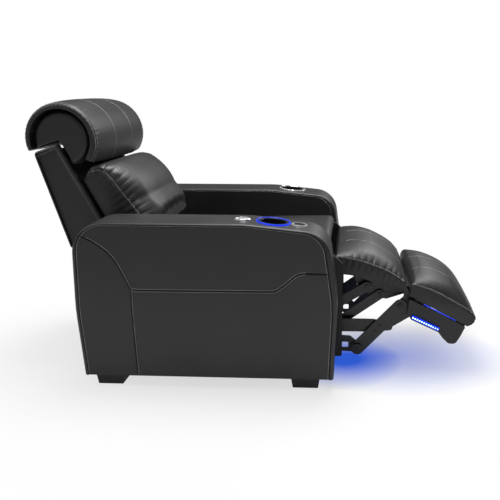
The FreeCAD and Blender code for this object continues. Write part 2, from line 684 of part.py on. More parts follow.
def footrest():
    thin = "sizes.plate"
    hole = "sizes.pin_radius + sizes.pin_play"
    links, carriages, uppers, lowers, rockers = [], [], [], [], []
    footBrackets, calfBrackets, carriers, bars = [], [], [], []
    knobs, carriagePins, footPins, calfPins, blocks = [], [], [], [], []
    plateOutline = [(80, 60, 12), (500, 55, 10), (575, 52, 20), (594, 72, 20), (575, 94, 20), (545, 120, 8),
                    (508, 122, 6), (508, 139, 6), (640, 140, 60), (712, 148, 13), (714, 176, 13),
                    (640, 193, 60), (508, 194, 8), (462, 238, 10), (424, 240, 12), (424, 125, 20),
                    (80, 112, 12)]
    squareHole = [(512, 70, 3), (537, 70, 3), (537, 94, 3), (512, 94, 3)]
    footOutline = [(753, 321, 9), (773, 321, 9), (778.5, 292.6), (858, 250.6, 5), (848, 226, 12),
                   (806, 206, 20), (776, 206, 14), (728, 240, 14), (728, 268, 8), (753, 290, 12)]
    calfOutline = [(552, 370.3, 5), (574, 322, 18), (640, 276, 20), (688, 268, 20), (777, 299, 12),
                   (774, 323, 10), (753, 323, 10), (745.5, 309.4, 3)]
    carrierOutline = [(772, 292, 8), (1000, 178, 8), (992, 170, 8), (978, 138, 14), (960, 106, 20),
                      (932, 108, 18), (908, 132, 14), (891, 155, 12), (783, 205, 8), (768, 232, 14)]
    for side, label in ((RIGHT, "right"), (LEFT, "left")):
        link = bar(label + "_long_link", KNEE, LINK_TOP, size("link_width"), thin, "sizes.link_plane", side,
                   holes=[(KNEE, hole), (LINK_TOP, hole)])
        node(link, label + "_long_link")
        carriages.append(plate(label + "_carriage_plate", plateOutline, thin, "sizes.bracket_plane", side,
                               windows=[squareHole]))
        slot = slotOutline(UPPER_BOLT, UPPER_PIN, 124, 206, 4.5, 11.5)
        uppers.append(bar(label + "_upper_stay", (427, 215), UPPER_BOLT, size("stay_width"), thin,
                          "sizes.stay_plane", side, holes=[(UPPER_BOLT, hole)], slots=[slot]))
        slot = slotOutline(LOWER_BOLT, LOWER_PIN, 177, 243, 2, 9.5)
        lowers.append(bar(label + "_lower_stay", (458, 143), LOWER_BOLT, size("stay_width"), thin,
                          "sizes.lower_stay_plane", side, holes=[(LOWER_BOLT, hole)], slots=[slot]))
        rockers.append(bar(label + "_rocker", ROCKER_LOW, ROCKER_TOP, 13, thin, "sizes.stay_plane", side,
                           holes=[(ROCKER_LOW, hole)]))
        footBrackets.append(plate(label + "_foot_bracket", footOutline, thin, "sizes.bracket_plane", side))
        calfBrackets.append(plate(label + "_calf_bracket", calfOutline, thin, "sizes.calf_plane", side,
                                  holes=[(FOOT_HINGE, hole)]))
        carriers.append(plate(label + "_light_carrier", carrierOutline, "8", "sizes.light_carrier", side))
        bars.append(lightBar(label, side))

        boss = "sizes.pin_radius + 5"
        spacer = ("sizes.bracket_plane + 5.7", "sizes.bracket_plane")
        through = ("sizes.link_plane + 0.4", "sizes.bracket_plane")
        knobs.append(fused(label + "_knob", [
            pin(label + "_knob_boss", boss, *spacer, KNEE, side),
            pin(label + "_knob_pin", "sizes.pin_radius", *through, KNEE, side),
            pin(label + "_knob_head", "sizes.knob_radius", "sizes.link_plane + 9", "sizes.link_plane + 0.4",
                KNEE, side),
            pin(label + "_knob_nut", 8, "sizes.link_plane + 13", "sizes.link_plane + 8", KNEE, side)]))
        inner = "sizes.bracket_plane - sizes.plate"
        for tag, radius, plane, place in (("stay", "4.5", "stay_plane", UPPER_PIN),
                                          ("lower", "4.5", "lower_stay_plane", LOWER_PIN),
                                          ("rocker", "sizes.pin_radius", "stay_plane", ROCKER_LOW)):
            carriagePins.append(pin("%s_%s_pin" % (label, tag), radius, inner, "sizes.%s - 9" % plane,
                                    place, side))
        footPins.append(fused(label + "_link_bolt", [
            pin(label + "_link_boss", boss, *spacer, LINK_TOP, side),
            pin(label + "_link_pin", "sizes.pin_radius", *through, LINK_TOP, side),
            pin(label + "_link_head", 11, "sizes.link_plane + 6", "sizes.link_plane + 0.4", LINK_TOP, side)]))
        footPins.append(pin(label + "_foot_hinge_pin", "sizes.pin_radius", inner, "sizes.calf_plane - 12",
                            FOOT_HINGE, side))
        for tag, place, plane in (("upper", UPPER_BOLT, "sizes.stay_plane"),
                                  ("lower", LOWER_BOLT, "sizes.lower_stay_plane")):
            head = pin("%s_%s_bolt_head" % (label, tag), 10, plane + " + 4.4", plane + " + 0.4", place, side)
            shank = pin("%s_%s_bolt_shank" % (label, tag), "sizes.pin_radius", plane + " + 0.4",
                        "sizes.calf_plane", place, side)
            calfPins.append(fused("%s_%s_bolt" % (label, tag), [head, shank]))
        for number, fore in ((1, 150), (2, 440)):
            start = "-(sizes.side_plate_outer - sizes.side_plate_thickness - 5)"
            if side == LEFT:
                start = "sizes.bracket_plane"
            wide = "sizes.side_plate_outer - sizes.side_plate_thickness - 5 - sizes.bracket_plane"
            blocks.append(box("%s_block_%d" % (label, number), wide, "60", "sizes.block_height", start,
                              str(fore), "75"))
    group("carriage_plates", carriages)
    group("upper_stays", uppers)
    group("lower_stays", lowers)
    group("rocker_links", rockers)
    group("foot_brackets", footBrackets)
    group("calf_brackets", calfBrackets)
    group("light_bar_carriers", carriers)
    group("light_bars", bars)
    group("knee_knobs", knobs)
    group("carriage_pins", carriagePins)
    group("foot_pins", footPins)
    group("calf_bolts", calfPins)
    group("slide_blocks", blocks)
    reach = "sizes.bracket_plane - sizes.plate"
    tubes = [crossBar("carriage_tube_%d" % number, 14, "2 * (%s)" % reach, "-(%s)" % reach, (fore, 84))
             for number, fore in ((1, 110), (2, 450))]
    group("carriage_cross_tubes", tubes)


def lightBar(label, side):
    start, end = (783, 213), (889, 163)
    along = Vector(end[0] - start[0], end[1] - start[1], 0).normalize()
    across = Vector(-along.y, along.x, 0)
    corners = []
    for point, hand in ((start, 0), (end, 0), (end, 1), (start, 1)):
        corners.append((point[0] + across.x * hand * 13, point[1] + across.y * hand * 13, 3))
    return plate(label + "_light_bar", corners, "sizes.light_bar", "sizes.light_carrier + sizes.light_bar",
                 side)


def footrestPads():
    board = [(548, 385), (748, 322), (744, 310), (544, 373)]
    node(plate("calf_board_blank", board, "2 * sizes.calf_board_half", "sizes.calf_board_half", RIGHT),
         "calf_board")
    board = [(801, 295), (1000, 190), (994, 179), (795, 284)]
    blank = plate("foot_board_blank", board, "2 * sizes.foot_board_half", "sizes.foot_board_half", RIGHT)
    recess = [(868, 280), (918, 254), (905, 200), (846, 228)]
    notches = [plate(label + "_foot_notch", recess, "50", "256", side)
               for side, label in ((RIGHT, "right"), (LEFT, "left"))]
    node(cut("foot_board_notched", blank, fused("foot_notches", notches)), "foot_board")

    def calf(t):
        rise = 34 * swell(t)
        tuck = 10 * (1 - swell(min(1.0, 6 * t)))
        lift = (0.3, 0.95)
        corners = [(546, 386.4), (748, 322.8), (757, 345), shifted((748, 362 - tuck), rise * 0.35, lift),
                   shifted((616, 430 - tuck), rise, lift), shifted((506, 458 - tuck), rise * 0.4, lift),
                   (500, 408)]
        return corners, [0, 3, 3, 6, 8, 7, 5]
    reliefs = []
    for side in (RIGHT, LEFT):
        start = min(side * 218, side * 250)
        reliefs.append(Part.makeCylinder(31, 32, at(705, 326.6, start), Vector(1, 0, 0)))
    cushion("calf_pad", size("pad_half"), STATIONS, calf, reliefs)

    def foot(t):
        rise = 34 * swell(t)
        tuck = 10 * (1 - swell(min(1.0, 6 * t)))
        lift = (0.45, 0.89)
        corners = [(784, 304.4), (1001, 190), (1032, 214), shifted((1030, 226), rise * 0.3, lift),
                   shifted((925, 296 - tuck), rise, lift), shifted((792, 358 - tuck), rise * 0.4, lift),
                   (776, 338)]
        return corners, [0, 5, 3, 6, 8, 5, 3]
    cushion("foot_pad", size("pad_half"), STATIONS, foot)


def checkAndWrite():
    doc.recompute()
    faults = []
    for item in doc.Objects:
        if "Invalid" in item.State or "Error" in item.State:
            faults.append("%s %s" % (item.Label, item.State))
    for item in nodes:
        if item.Shape.isNull() or not item.Shape.isValid() or not item.Shape.Solids:
            faults.append("%s has no valid solid" % item.Label)
    if faults:
        raise RuntimeError("; ".join(faults))
    os.makedirs("parts", exist_ok=True)
    for item in nodes:
        item.Shape.exportStep("parts/%s.step" % item.Label)
        print("%-24s %d solids %9.1f cm3" % (item.Label, len(item.Shape.Solids), item.Shape.Volume / 1000))
    print(len(nodes), "nodes")


armSide(RIGHT, "right")
armSide(LEFT, "left")
feet()
cupHolders()
buttons()
seatBase()
seatCushion()
footrestActuator()
reclineActuator()
backrest()
headrest()
footrest()
footrestPads()
checkAndWrite()
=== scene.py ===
import bpy
import bmesh
import math
import numpy as np
from mathutils import Matrix, Vector
from mathutils.bvhtree import BVHTree


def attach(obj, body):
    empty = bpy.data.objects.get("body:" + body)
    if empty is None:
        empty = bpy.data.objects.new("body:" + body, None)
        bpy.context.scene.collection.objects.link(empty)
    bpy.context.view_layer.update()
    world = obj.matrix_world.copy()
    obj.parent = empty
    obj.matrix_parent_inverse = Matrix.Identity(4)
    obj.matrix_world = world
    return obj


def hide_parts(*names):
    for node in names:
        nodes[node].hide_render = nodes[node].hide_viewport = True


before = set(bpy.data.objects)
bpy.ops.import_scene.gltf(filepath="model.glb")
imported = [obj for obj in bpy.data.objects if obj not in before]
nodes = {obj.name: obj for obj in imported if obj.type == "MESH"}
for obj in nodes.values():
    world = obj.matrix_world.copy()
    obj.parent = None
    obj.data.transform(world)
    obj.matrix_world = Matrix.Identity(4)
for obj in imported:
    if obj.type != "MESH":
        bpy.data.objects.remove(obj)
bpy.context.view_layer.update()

foreDatum = 171.3      # mm: side outlines count fore from this plane
print("frame loaded:", len(nodes), "nodes")


def place(fore, height, x):
    return Vector((x / 1000, (foreDatum - fore) / 1000, height / 1000))


def addNode(tree, kind, spot=(0, 0), **values):
    item = tree.nodes.new(kind)
    item.location = spot
    for key, value in values.items():
        if hasattr(item, key):
            setattr(item, key, value)
        else:
            item.inputs[key.replace("_", " ")].default_value = value
    return item


def newGroup(name, inputs, outputs):
    tree = bpy.data.node_groups.new(name, "ShaderNodeTree")
    for label, kind, value in inputs:
        socket = tree.interface.new_socket(label, in_out="INPUT", socket_type=kind)
        if value is not None:
            socket.default_value = value
    for label, kind in outputs:
        tree.interface.new_socket(label, in_out="OUTPUT", socket_type=kind)
    return tree, tree.nodes.new("NodeGroupInput"), tree.nodes.new("NodeGroupOutput")


def mathNode(tree, operation, first, second=None, clamp=False):
    item = tree.nodes.new("ShaderNodeMath")
    item.operation = operation
    item.use_clamp = clamp
    for index, value in enumerate((first, second)):
        if value is None:
            continue
        if isinstance(value, (int, float)):
            item.inputs[index].default_value = value
        else:
            tree.links.new(value, item.inputs[index])
    return item.outputs[0]


def mixColour(tree, share, first, second):
    item = tree.nodes.new("ShaderNodeMix")
    item.data_type = "RGBA"
    for socket, value in ((item.inputs[0], share), (item.inputs[6], first), (item.inputs[7], second)):
        if isinstance(value, (int, float, tuple)):
            socket.default_value = value
        else:
            tree.links.new(value, socket)
    return item.outputs[2]


# Grained hide: pebbles about a millimetre across, fine creases, cloudy sheen
def makeGrainGroup():
    tree, start, end = newGroup(
        "leatherGrain",
        [("Vector", "NodeSocketVector", None), ("Colour", "NodeSocketColor", (0.02, 0.02, 0.02, 1)),
         ("Pebble Scale", "NodeSocketFloat", 620.0), ("Roughness", "NodeSocketFloat", 0.42),
         ("Cloud", "NodeSocketFloat", 0.12)],
        [("Colour", "NodeSocketColor"), ("Roughness", "NodeSocketFloat"), ("Height", "NodeSocketFloat")])
    link = tree.links.new
    pebbles = addNode(tree, "ShaderNodeTexVoronoi", feature="SMOOTH_F1", Smoothness=0.35)
    creases = addNode(tree, "ShaderNodeTexNoise", Scale=95.0, Detail=5.0, Roughness=0.6)
    clouds = addNode(tree, "ShaderNodeTexNoise", Scale=7.0, Detail=3.0, Roughness=0.5)
    link(start.outputs["Vector"], creases.inputs["Vector"])
    link(start.outputs["Vector"], clouds.inputs["Vector"])
    link(start.outputs["Vector"], pebbles.inputs["Vector"])
    link(start.outputs["Pebble Scale"], pebbles.inputs["Scale"])
    valley = mathNode(tree, "MULTIPLY", pebbles.outputs["Distance"], pebbles.outputs["Distance"])
    crease = mathNode(tree, "SUBTRACT", creases.outputs["Fac"], 0.5)
    height = mathNode(tree, "SUBTRACT", mathNode(tree, "MULTIPLY", crease, 0.9),
                      mathNode(tree, "MULTIPLY", valley, 0.8))
    cloud = mathNode(tree, "SUBTRACT", clouds.outputs["Fac"], 0.5)
    cloud = mathNode(tree, "MULTIPLY", cloud, start.outputs["Cloud"])
    rough = mathNode(tree, "ADD", start.outputs["Roughness"], mathNode(tree, "MULTIPLY", cloud, 1.6))
    rough = mathNode(tree, "ADD", rough, mathNode(tree, "MULTIPLY", valley, 0.18), clamp=True)
    brighter = mathNode(tree, "ADD", mathNode(tree, "MULTIPLY", cloud, 2.2), 0.5, clamp=True)
    lighter = mixColour(tree, 0.55, start.outputs["Colour"], (0.075, 0.075, 0.078, 1))
    worn = mixColour(tree, mathNode(tree, "MULTIPLY", brighter, 0.35), start.outputs["Colour"], lighter)
    dark = mixColour(tree, mathNode(tree, "MULTIPLY", valley, 0.5), worn, (0.004, 0.004, 0.004, 1))
    link(dark, end.inputs["Colour"])
    link(rough, end.inputs["Roughness"])
    link(height, end.inputs["Height"])
    return tree


# Metal and plastic: fine speckle, brushed streaks along one axis, rubbed spots
def makeSurfaceGroup():
    tree, start, end = newGroup(
        "metalSurface",
        [("Vector", "NodeSocketVector", None), ("Colour", "NodeSocketColor", (0.03, 0.03, 0.03, 1)),
         ("Rubbed", "NodeSocketColor", (0.1, 0.1, 0.1, 1)), ("Roughness", "NodeSocketFloat", 0.4),
         ("Speckle", "NodeSocketFloat", 0.1), ("Streak", "NodeSocketFloat", 0.0),
         ("Wear", "NodeSocketFloat", 0.2)],
        [("Colour", "NodeSocketColor"), ("Roughness", "NodeSocketFloat"), ("Height", "NodeSocketFloat")])
    link = tree.links.new
    speckle = addNode(tree, "ShaderNodeTexNoise", Scale=900.0, Detail=2.0)
    spots = addNode(tree, "ShaderNodeTexNoise", Scale=38.0, Detail=6.0, Roughness=0.7)
    stretch = addNode(tree, "ShaderNodeMapping")
    stretch.inputs["Scale"].default_value = (1, 60, 60)
    streaks = addNode(tree, "ShaderNodeTexNoise", Scale=18.0, Detail=4.0)
    link(start.outputs["Vector"], speckle.inputs["Vector"])
    link(start.outputs["Vector"], spots.inputs["Vector"])
    link(start.outputs["Vector"], stretch.inputs["Vector"])
    link(stretch.outputs["Vector"], streaks.inputs["Vector"])
    fine = mathNode(tree, "SUBTRACT", speckle.outputs["Fac"], 0.5)
    fine = mathNode(tree, "MULTIPLY", fine, start.outputs["Speckle"])
    lines = mathNode(tree, "SUBTRACT", streaks.outputs["Fac"], 0.5)
    lines = mathNode(tree, "MULTIPLY", lines, start.outputs["Streak"])
    mask = mathNode(tree, "MULTIPLY", mathNode(tree, "SUBTRACT", spots.outputs["Fac"], 0.58), 9.0, clamp=True)
    mask = mathNode(tree, "MULTIPLY", mask, start.outputs["Wear"])
    link(mixColour(tree, mask, start.outputs["Colour"], start.outputs["Rubbed"]), end.inputs["Colour"])
    rough = mathNode(tree, "ADD", start.outputs["Roughness"], mathNode(tree, "ADD", fine, lines))
    rough = mathNode(tree, "SUBTRACT", rough, mathNode(tree, "MULTIPLY", mask, 0.1), clamp=True)
    link(rough, end.inputs["Roughness"])
    link(mathNode(tree, "ADD", fine, lines), end.inputs["Height"])
    return tree


grainGroup = makeGrainGroup()
surfaceGroup = makeSurfaceGroup()


def newMaterial(name):
    material = bpy.data.materials.new(name)
    material.use_nodes = True
    tree = material.node_tree
    return material, tree, tree.nodes["Principled BSDF"]


def groupMaterial(name, group, values, bump, bumpDistance, **sockets):
    material, tree, shader = newMaterial(name)
    coords = addNode(tree, "ShaderNodeTexCoord", (-900, 0))
    item = addNode(tree, "ShaderNodeGroup", (-600, 0))
    item.node_tree = group
    for key, value in values.items():
        item.inputs[key].default_value = value
    tree.links.new(coords.outputs["Object"], item.inputs["Vector"])
    tree.links.new(item.outputs["Colour"], shader.inputs["Base Color"])
    tree.links.new(item.outputs["Roughness"], shader.inputs["Roughness"])
    relief = addNode(tree, "ShaderNodeBump", (-300, -300), Strength=bump, Distance=bumpDistance)
    tree.links.new(item.outputs["Height"], relief.inputs["Height"])
    tree.links.new(relief.outputs["Normal"], shader.inputs["Normal"])
    for key, value in sockets.items():
        shader.inputs[key.replace("_", " ")].default_value = value
    return material


leatherLook = {"Colour": (0.011, 0.011, 0.0118, 1), "Pebble Scale": 620.0, "Roughness": 0.43, "Cloud": 0.12}
leather = groupMaterial("blackLeather", grainGroup, leatherLook, 0.35, 0.0004, Specular_IOR_Level=0.55)
liningLook = {"Colour": (0.012, 0.012, 0.012, 1), "Pebble Scale": 900.0, "Roughness": 0.6, "Cloud": 0.08}
softLining = groupMaterial("softLining", grainGroup, liningLook, 0.2, 0.0003)
coat = {"Colour": (0.004, 0.004, 0.0043, 1), "Rubbed": (0.035, 0.035, 0.036, 1), "Roughness": 0.42,
        "Speckle": 0.25, "Wear": 0.3}
blackSteel = groupMaterial("blackSteel", surfaceGroup, coat, 0.15, 0.0003, Coat_Weight=0.1)
zinc = {"Colour": (0.42, 0.42, 0.44, 1), "Rubbed": (0.2, 0.2, 0.2, 1), "Roughness": 0.3, "Speckle": 0.2,
        "Streak": 0.2, "Wear": 0.4}
brightSteel = groupMaterial("brightSteel", surfaceGroup, zinc, 0.1, 0.0002, Metallic=1.0)
spring = dict(zinc, Colour=(0.2, 0.2, 0.21, 1))
bolt = dict(zinc, Colour=(0.03, 0.03, 0.032, 1), Rubbed=(0.12, 0.12, 0.12, 1), Roughness=0.35)
boltSteel = groupMaterial("boltSteel", surfaceGroup, bolt, 0.1, 0.0002, Metallic=0.8)
springSteel = groupMaterial("springSteel", surfaceGroup, spring, 0.1, 0.0002, Metallic=1.0)
# Chrome: the metallic share is real; the light grey diffuse share is painted reflection of bright
# surroundings
chromeAndPaintedReflection = {"Colour": (0.78, 0.78, 0.8, 1), "Rubbed": (0.6, 0.6, 0.62, 1), "Roughness": 0.13, "Speckle": 0.06,
          "Streak": 0.08, "Wear": 0.15}
chrome = groupMaterial("chromeTrimWithPaintedReflection", surfaceGroup, chromeAndPaintedReflection, 0.03, 0.0001, Metallic=0.6)
cupLook = {"Colour": (0.028, 0.028, 0.03, 1), "Rubbed": (0.05, 0.05, 0.05, 1), "Roughness": 0.28,
           "Speckle": 0.1, "Streak": 0.25, "Wear": 0.2}
cupSteel = groupMaterial("cupSteel", surfaceGroup, cupLook, 0.05, 0.0002, Metallic=0.6)
mould = {"Colour": (0.014, 0.014, 0.015, 1), "Rubbed": (0.03, 0.03, 0.03, 1), "Roughness": 0.5,
         "Speckle": 0.35, "Wear": 0.25}
blackPlastic = groupMaterial("blackPlastic", surfaceGroup, mould, 0.25, 0.0003)
gloss = dict(mould, Roughness=0.2, Speckle=0.08)
glossPlastic = groupMaterial("glossPlastic", surfaceGroup, gloss, 0.05, 0.0002)
nylonLook = {"Colour": (0.6, 0.59, 0.55, 1), "Rubbed": (0.4, 0.39, 0.36, 1), "Roughness": 0.45,
             "Speckle": 0.1, "Wear": 0.3}
nylon = groupMaterial("sliderNylon", surfaceGroup, nylonLook, 0.1, 0.0002)
threadLook = {"Colour": (0.5, 0.5, 0.51, 1), "Rubbed": (0.35, 0.35, 0.35, 1), "Roughness": 0.6,
              "Speckle": 0.3, "Streak": 0.2, "Wear": 0.3}
thread = groupMaterial("greyThread", surfaceGroup, threadLook, 0.5, 0.0004)


def makePlywood():
    material, tree, shader = newMaterial("plywood")
    coords = addNode(tree, "ShaderNodeTexCoord")
    turn = addNode(tree, "ShaderNodeMapping")
    turn.inputs["Scale"].default_value = (30, 3, 22)
    rings = addNode(tree, "ShaderNodeTexWave", wave_type="RINGS", Scale=1.2, Distortion=6.0, Detail=4.0)
    fibre = addNode(tree, "ShaderNodeTexNoise", Scale=14.0, Detail=8.0, Roughness=0.7)
    ramp = addNode(tree, "ShaderNodeValToRGB")
    ramp.color_ramp.elements[0].color = (0.30, 0.19, 0.10, 1)
    ramp.color_ramp.elements[1].color = (0.52, 0.37, 0.22, 1)
    tree.links.new(coords.outputs["Object"], turn.inputs["Vector"])
    tree.links.new(turn.outputs["Vector"], rings.inputs["Vector"])
    tree.links.new(turn.outputs["Vector"], fibre.inputs["Vector"])
    tree.links.new(mathNode(tree, "MULTIPLY", rings.outputs["Fac"], fibre.outputs["Fac"]), ramp.inputs["Fac"])
    tree.links.new(ramp.outputs["Color"], shader.inputs["Base Color"])
    relief = addNode(tree, "ShaderNodeBump", Strength=0.2, Distance=0.0004)
    tree.links.new(fibre.outputs["Fac"], relief.inputs["Height"])
    tree.links.new(relief.outputs["Normal"], shader.inputs["Normal"])
    shader.inputs["Roughness"].default_value = 0.7
    return material


# A lit plastic whose glow breaks up a little from spot to spot
def makeGlow(name, colour, strength, cell):
    material, tree, shader = newMaterial(name)
    coords = addNode(tree, "ShaderNodeTexCoord")
    cells = addNode(tree, "ShaderNodeTexNoise", Scale=cell, Detail=1.0)
    ramp = addNode(tree, "ShaderNodeValToRGB")
    ramp.color_ramp.elements[0].color = tuple(c * 0.55 for c in colour) + (1,)
    ramp.color_ramp.elements[1].color = tuple(colour) + (1,)
    ramp.color_ramp.elements[0].position = 0.3
    ramp.color_ramp.elements[1].position = 0.6
    tree.links.new(coords.outputs["Object"], cells.inputs["Vector"])
    tree.links.new(cells.outputs["Fac"], ramp.inputs["Fac"])
    tree.links.new(ramp.outputs["Color"], shader.inputs["Emission Color"])
    shader.inputs["Emission Strength"].default_value = strength
    shader.inputs["Base Color"].default_value = tuple(c * 0.3 for c in colour) + (1,)
    shader.inputs["Roughness"].default_value = 0.25
    return material


plywood = makePlywood()
ringGlow = makeGlow("ringGlow", (0.01, 0.05, 0.9), 1.0, 60.0)
stripGlow = makeGlow("stripGlow", (0.0, 0.03, 0.85), 1.2, 40.0)
lampGlow = makeGlow("lampGlow", (0.35, 0.6, 1.0), 7.0, 30.0)
print("materials made")

nodeLooks = {
    leather: ["rear_shell", "rear_panel"],
    plywood: ["right_arm_frame", "left_arm_frame"],
    softLining: ["right_seat_side", "left_seat_side", "calf_board", "foot_board"],
    blackPlastic: ["feet", "power_inlet", "power_supply", "footrest_actuator", "recline_motor",
                   "light_bar_carriers"],
    cupSteel: ["right_cup_holder", "left_cup_holder"],
    ringGlow: ["right_cup_ring"],
    chrome: ["left_cup_ring", "recline_button_bezel", "footrest_button_bezel", "recline_button"],
    glossPlastic: ["footrest_button"],
    blackSteel: ["cross_members", "slide_rails", "recline_hinges", "back_frame", "headrest_hinges",
                 "carriage_plates", "carriage_cross_tubes", "right_long_link", "left_long_link",
                 "upper_stays", "lower_stays", "rocker_links", "foot_brackets", "calf_brackets",
                 "knee_knobs", "motor_bracket"],
    springSteel: ["seat_springs"],
    nylon: ["slide_blocks"],
    brightSteel: ["actuator_rod", "recline_rod", "carriage_pins"],
    boltSteel: ["foot_pins", "calf_bolts"],
    stripGlow: ["light_bars"],
}
for look, names in nodeLooks.items():
    for name in names:
        nodes[name].data.materials.clear()
        nodes[name].data.materials.append(look)


# Straight runs joined by arcs of so many steps each, so that like outlines have equally many points
def outlinePoints(corners, arcSteps, closed=True, runSteps=None):
    spots = [Vector((c[0], c[1])) for c in corners]
    radii = [c[2] if len(c) > 2 else 0 for c in corners]
    count = len(spots)
    pieces = []
    for i, corner in enumerate(spots):
        if radii[i] == 0 or (not closed and i in (0, count - 1)):
            pieces.append([corner])
            continue
        back = (spots[i - 1] - corner).normalized()
        on = (spots[(i + 1) % count] - corner).normalized()
        half = back.angle(on) / 2
        centre = corner + (back + on).normalized() * (radii[i] / math.sin(half))
        first = corner + back * (radii[i] / math.tan(half)) - centre
        last = corner + on * (radii[i] / math.tan(half)) - centre
        turn = first.angle_signed(last)
        arc = []
        for k in range(arcSteps + 1):
            angle = -turn * k / arcSteps
            arc.append(centre + Vector((first.x * math.cos(angle) - first.y * math.sin(angle),
                                        first.x * math.sin(angle) + first.y * math.cos(angle))))
        pieces.append(arc)
    points = []
    ends = range(count) if closed else range(count - 1)
    for i in range(count):
        points += pieces[i]
        if i not in ends:
            continue
        start, stop = pieces[i][-1], pieces[(i + 1) % count][0]
        steps = runSteps[i] if runSteps else 1
        points += [start.lerp(stop, k / steps) for k in range(1, steps)]
    return points


# The same corners moved inwards by a distance, whichever way round the outline runs
def insetCorners(corners, distance):
    spots = [Vector((c[0], c[1])) for c in corners]
    count = len(spots)
    area = sum(spots[i - 1].x * spots[i].y - spots[i].x * spots[i - 1].y for i in range(count))
    hand = 1 if area > 0 else -1
    moved = []
    for i, corner in enumerate(spots):
        back = (corner - spots[i - 1]).normalized()
        on = (spots[(i + 1) % count] - corner).normalized()
        backSide = Vector((-back.y, back.x)) * hand
        onSide = Vector((-on.y, on.x)) * hand
        middle = (backSide + onSide).normalized()
        spot = corner + middle * (distance / max(0.2, middle.dot(onSide)))
        radius = corners[i][2] if len(corners[i]) > 2 else 0
        bend = hand * (back.x * on.y - back.y * on.x)
        moved.append((spot.x, spot.y, max(0.5, radius - distance if bend > 0 else radius + distance)))
    return moved


def finishMesh(name, mesh, look, body, sharp=35):
    bmesh.ops.recalc_face_normals(mesh, faces=mesh.faces)
    data = bpy.data.meshes.new(name)
    mesh.to_mesh(data)
    mesh.free()
    item = bpy.data.objects.new(name, data)
    bpy.context.scene.collection.objects.link(item)
    data.materials.append(look)
    data.shade_smooth()
    if sharp:
        data.set_sharp_from_angle(angle=math.radians(sharp))
    if body:
        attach(item, body)
    return item


def addRing(mesh, points):
    verts = [mesh.verts.new(p) for p in points]
    return [mesh.edges.new(pair) for pair in zip(verts, verts[1:] + verts[:1])]


# Loops of equal length, each drawn out of the last one; the two ends are closed
def stackLoops(mesh, loops):
    edges = addRing(mesh, loops[0])
    bmesh.ops.contextual_create(mesh, geom=edges)
    for loop in loops[1:]:
        made = bmesh.ops.extrude_edge_only(mesh, edges=edges)
        edges = [g for g in made["geom"] if isinstance(g, bmesh.types.BMEdge)]
        fresh = [g for g in made["geom"] if isinstance(g, bmesh.types.BMVert)]
        for vert, point in zip(fresh, loop):
            vert.co = point
    bmesh.ops.contextual_create(mesh, geom=edges)


def applied(item):
    graph = bpy.context.evaluated_depsgraph_get()
    data = bpy.data.meshes.new_from_object(item.evaluated_get(graph))
    item.modifiers.clear()
    item.data = data


def cylinderMesh(name, start, end, radius):
    mesh = bmesh.new()
    run = end - start
    turn = run.to_track_quat("Z", "Y").to_matrix().to_4x4()
    bmesh.ops.create_cone(mesh, cap_ends=True, segments=48, radius1=radius, radius2=radius,
                          depth=run.length, matrix=Matrix.Translation((start + end) / 2) @ turn)
    data = bpy.data.meshes.new(name)
    mesh.to_mesh(data)
    mesh.free()
    item = bpy.data.objects.new(name, data)
    bpy.context.scene.collection.objects.link(item)
    return item


def cutAway(item, tools):
    for tool in tools:
        cutter = item.modifiers.new("cut", "BOOLEAN")
        cutter.operation = "DIFFERENCE"
        cutter.solver = "EXACT"
        cutter.object = tool
    bpy.context.view_layer.update()
    applied(item)
    for tool in tools:
        bpy.data.objects.remove(tool)


def surfaceOf(item):
    graph = bpy.context.evaluated_depsgraph_get()
    mesh = bmesh.new()
    mesh.from_object(item, graph)
    tree = BVHTree.FromBMesh(mesh)
    mesh.free()
    return tree


# Points at equal steps along a path
def resample(points, step):
    points = [Vector(p) for p in points]
    lengths = [0.0]
    for a, b in zip(points, points[1:]):
        lengths.append(lengths[-1] + (b - a).length)
    count = max(1, round(lengths[-1] / step))
    spots, run = [], 0
    for k in range(count + 1):
        target = lengths[-1] * k / count
        while run < len(points) - 2 and lengths[run + 1] < target:
            run += 1
        share = (target - lengths[run]) / max(1e-9, lengths[run + 1] - lengths[run])
        spots.append(points[run].lerp(points[run + 1], share))
    return spots


stitchSizes = {"pitch": 0.0062, "length": 0.0044, "width": 0.0015, "lift": 0.0001}


# A row of thread stitches lying on a surface along a path; each is a short arched length of thread
def stitchRow(name, body, surface, path, push=None):
    sizes = stitchSizes
    curve = bpy.data.curves.new(name, "CURVE")
    curve.dimensions = "3D"
    curve.bevel_depth = sizes["width"] / 2
    curve.bevel_resolution = 1
    curve.use_fill_caps = True
    spots = resample(path, sizes["pitch"])
    for spot, following in zip(spots, spots[1:]):
        middle = (spot + following) / 2
        if push:
            hit, normal, _, _ = surface.ray_cast(middle - push * 0.08, push)
        else:
            hit, normal, _, _ = surface.find_nearest(middle)
        if hit is None:
            continue
        along = (following - spot).normalized()
        along = (along - normal * along.dot(normal)).normalized() * (sizes["length"] / 2)
        line = curve.splines.new("POLY")
        line.points.add(3)
        for point, step, rise, radius in zip(line.points, (-1, -0.5, 0.5, 1), (-0.2, 0.3, 0.3, -0.2),
                                             (0.5, 1, 1, 0.5)):
            point.co = (*(hit + along * step + normal * (sizes["lift"] + rise * sizes["width"])), 1)
            point.radius = radius
    holder = bpy.data.objects.new(name + "Line", curve)
    bpy.context.scene.collection.objects.link(holder)
    graph = bpy.context.evaluated_depsgraph_get()
    data = bpy.data.meshes.new_from_object(holder.evaluated_get(graph))
    bpy.data.objects.remove(holder)
    data.shade_smooth()
    item = bpy.data.objects.new(name, data)
    bpy.context.scene.collection.objects.link(item)
    data.materials.clear()
    data.materials.append(thread)
    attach(item, body)


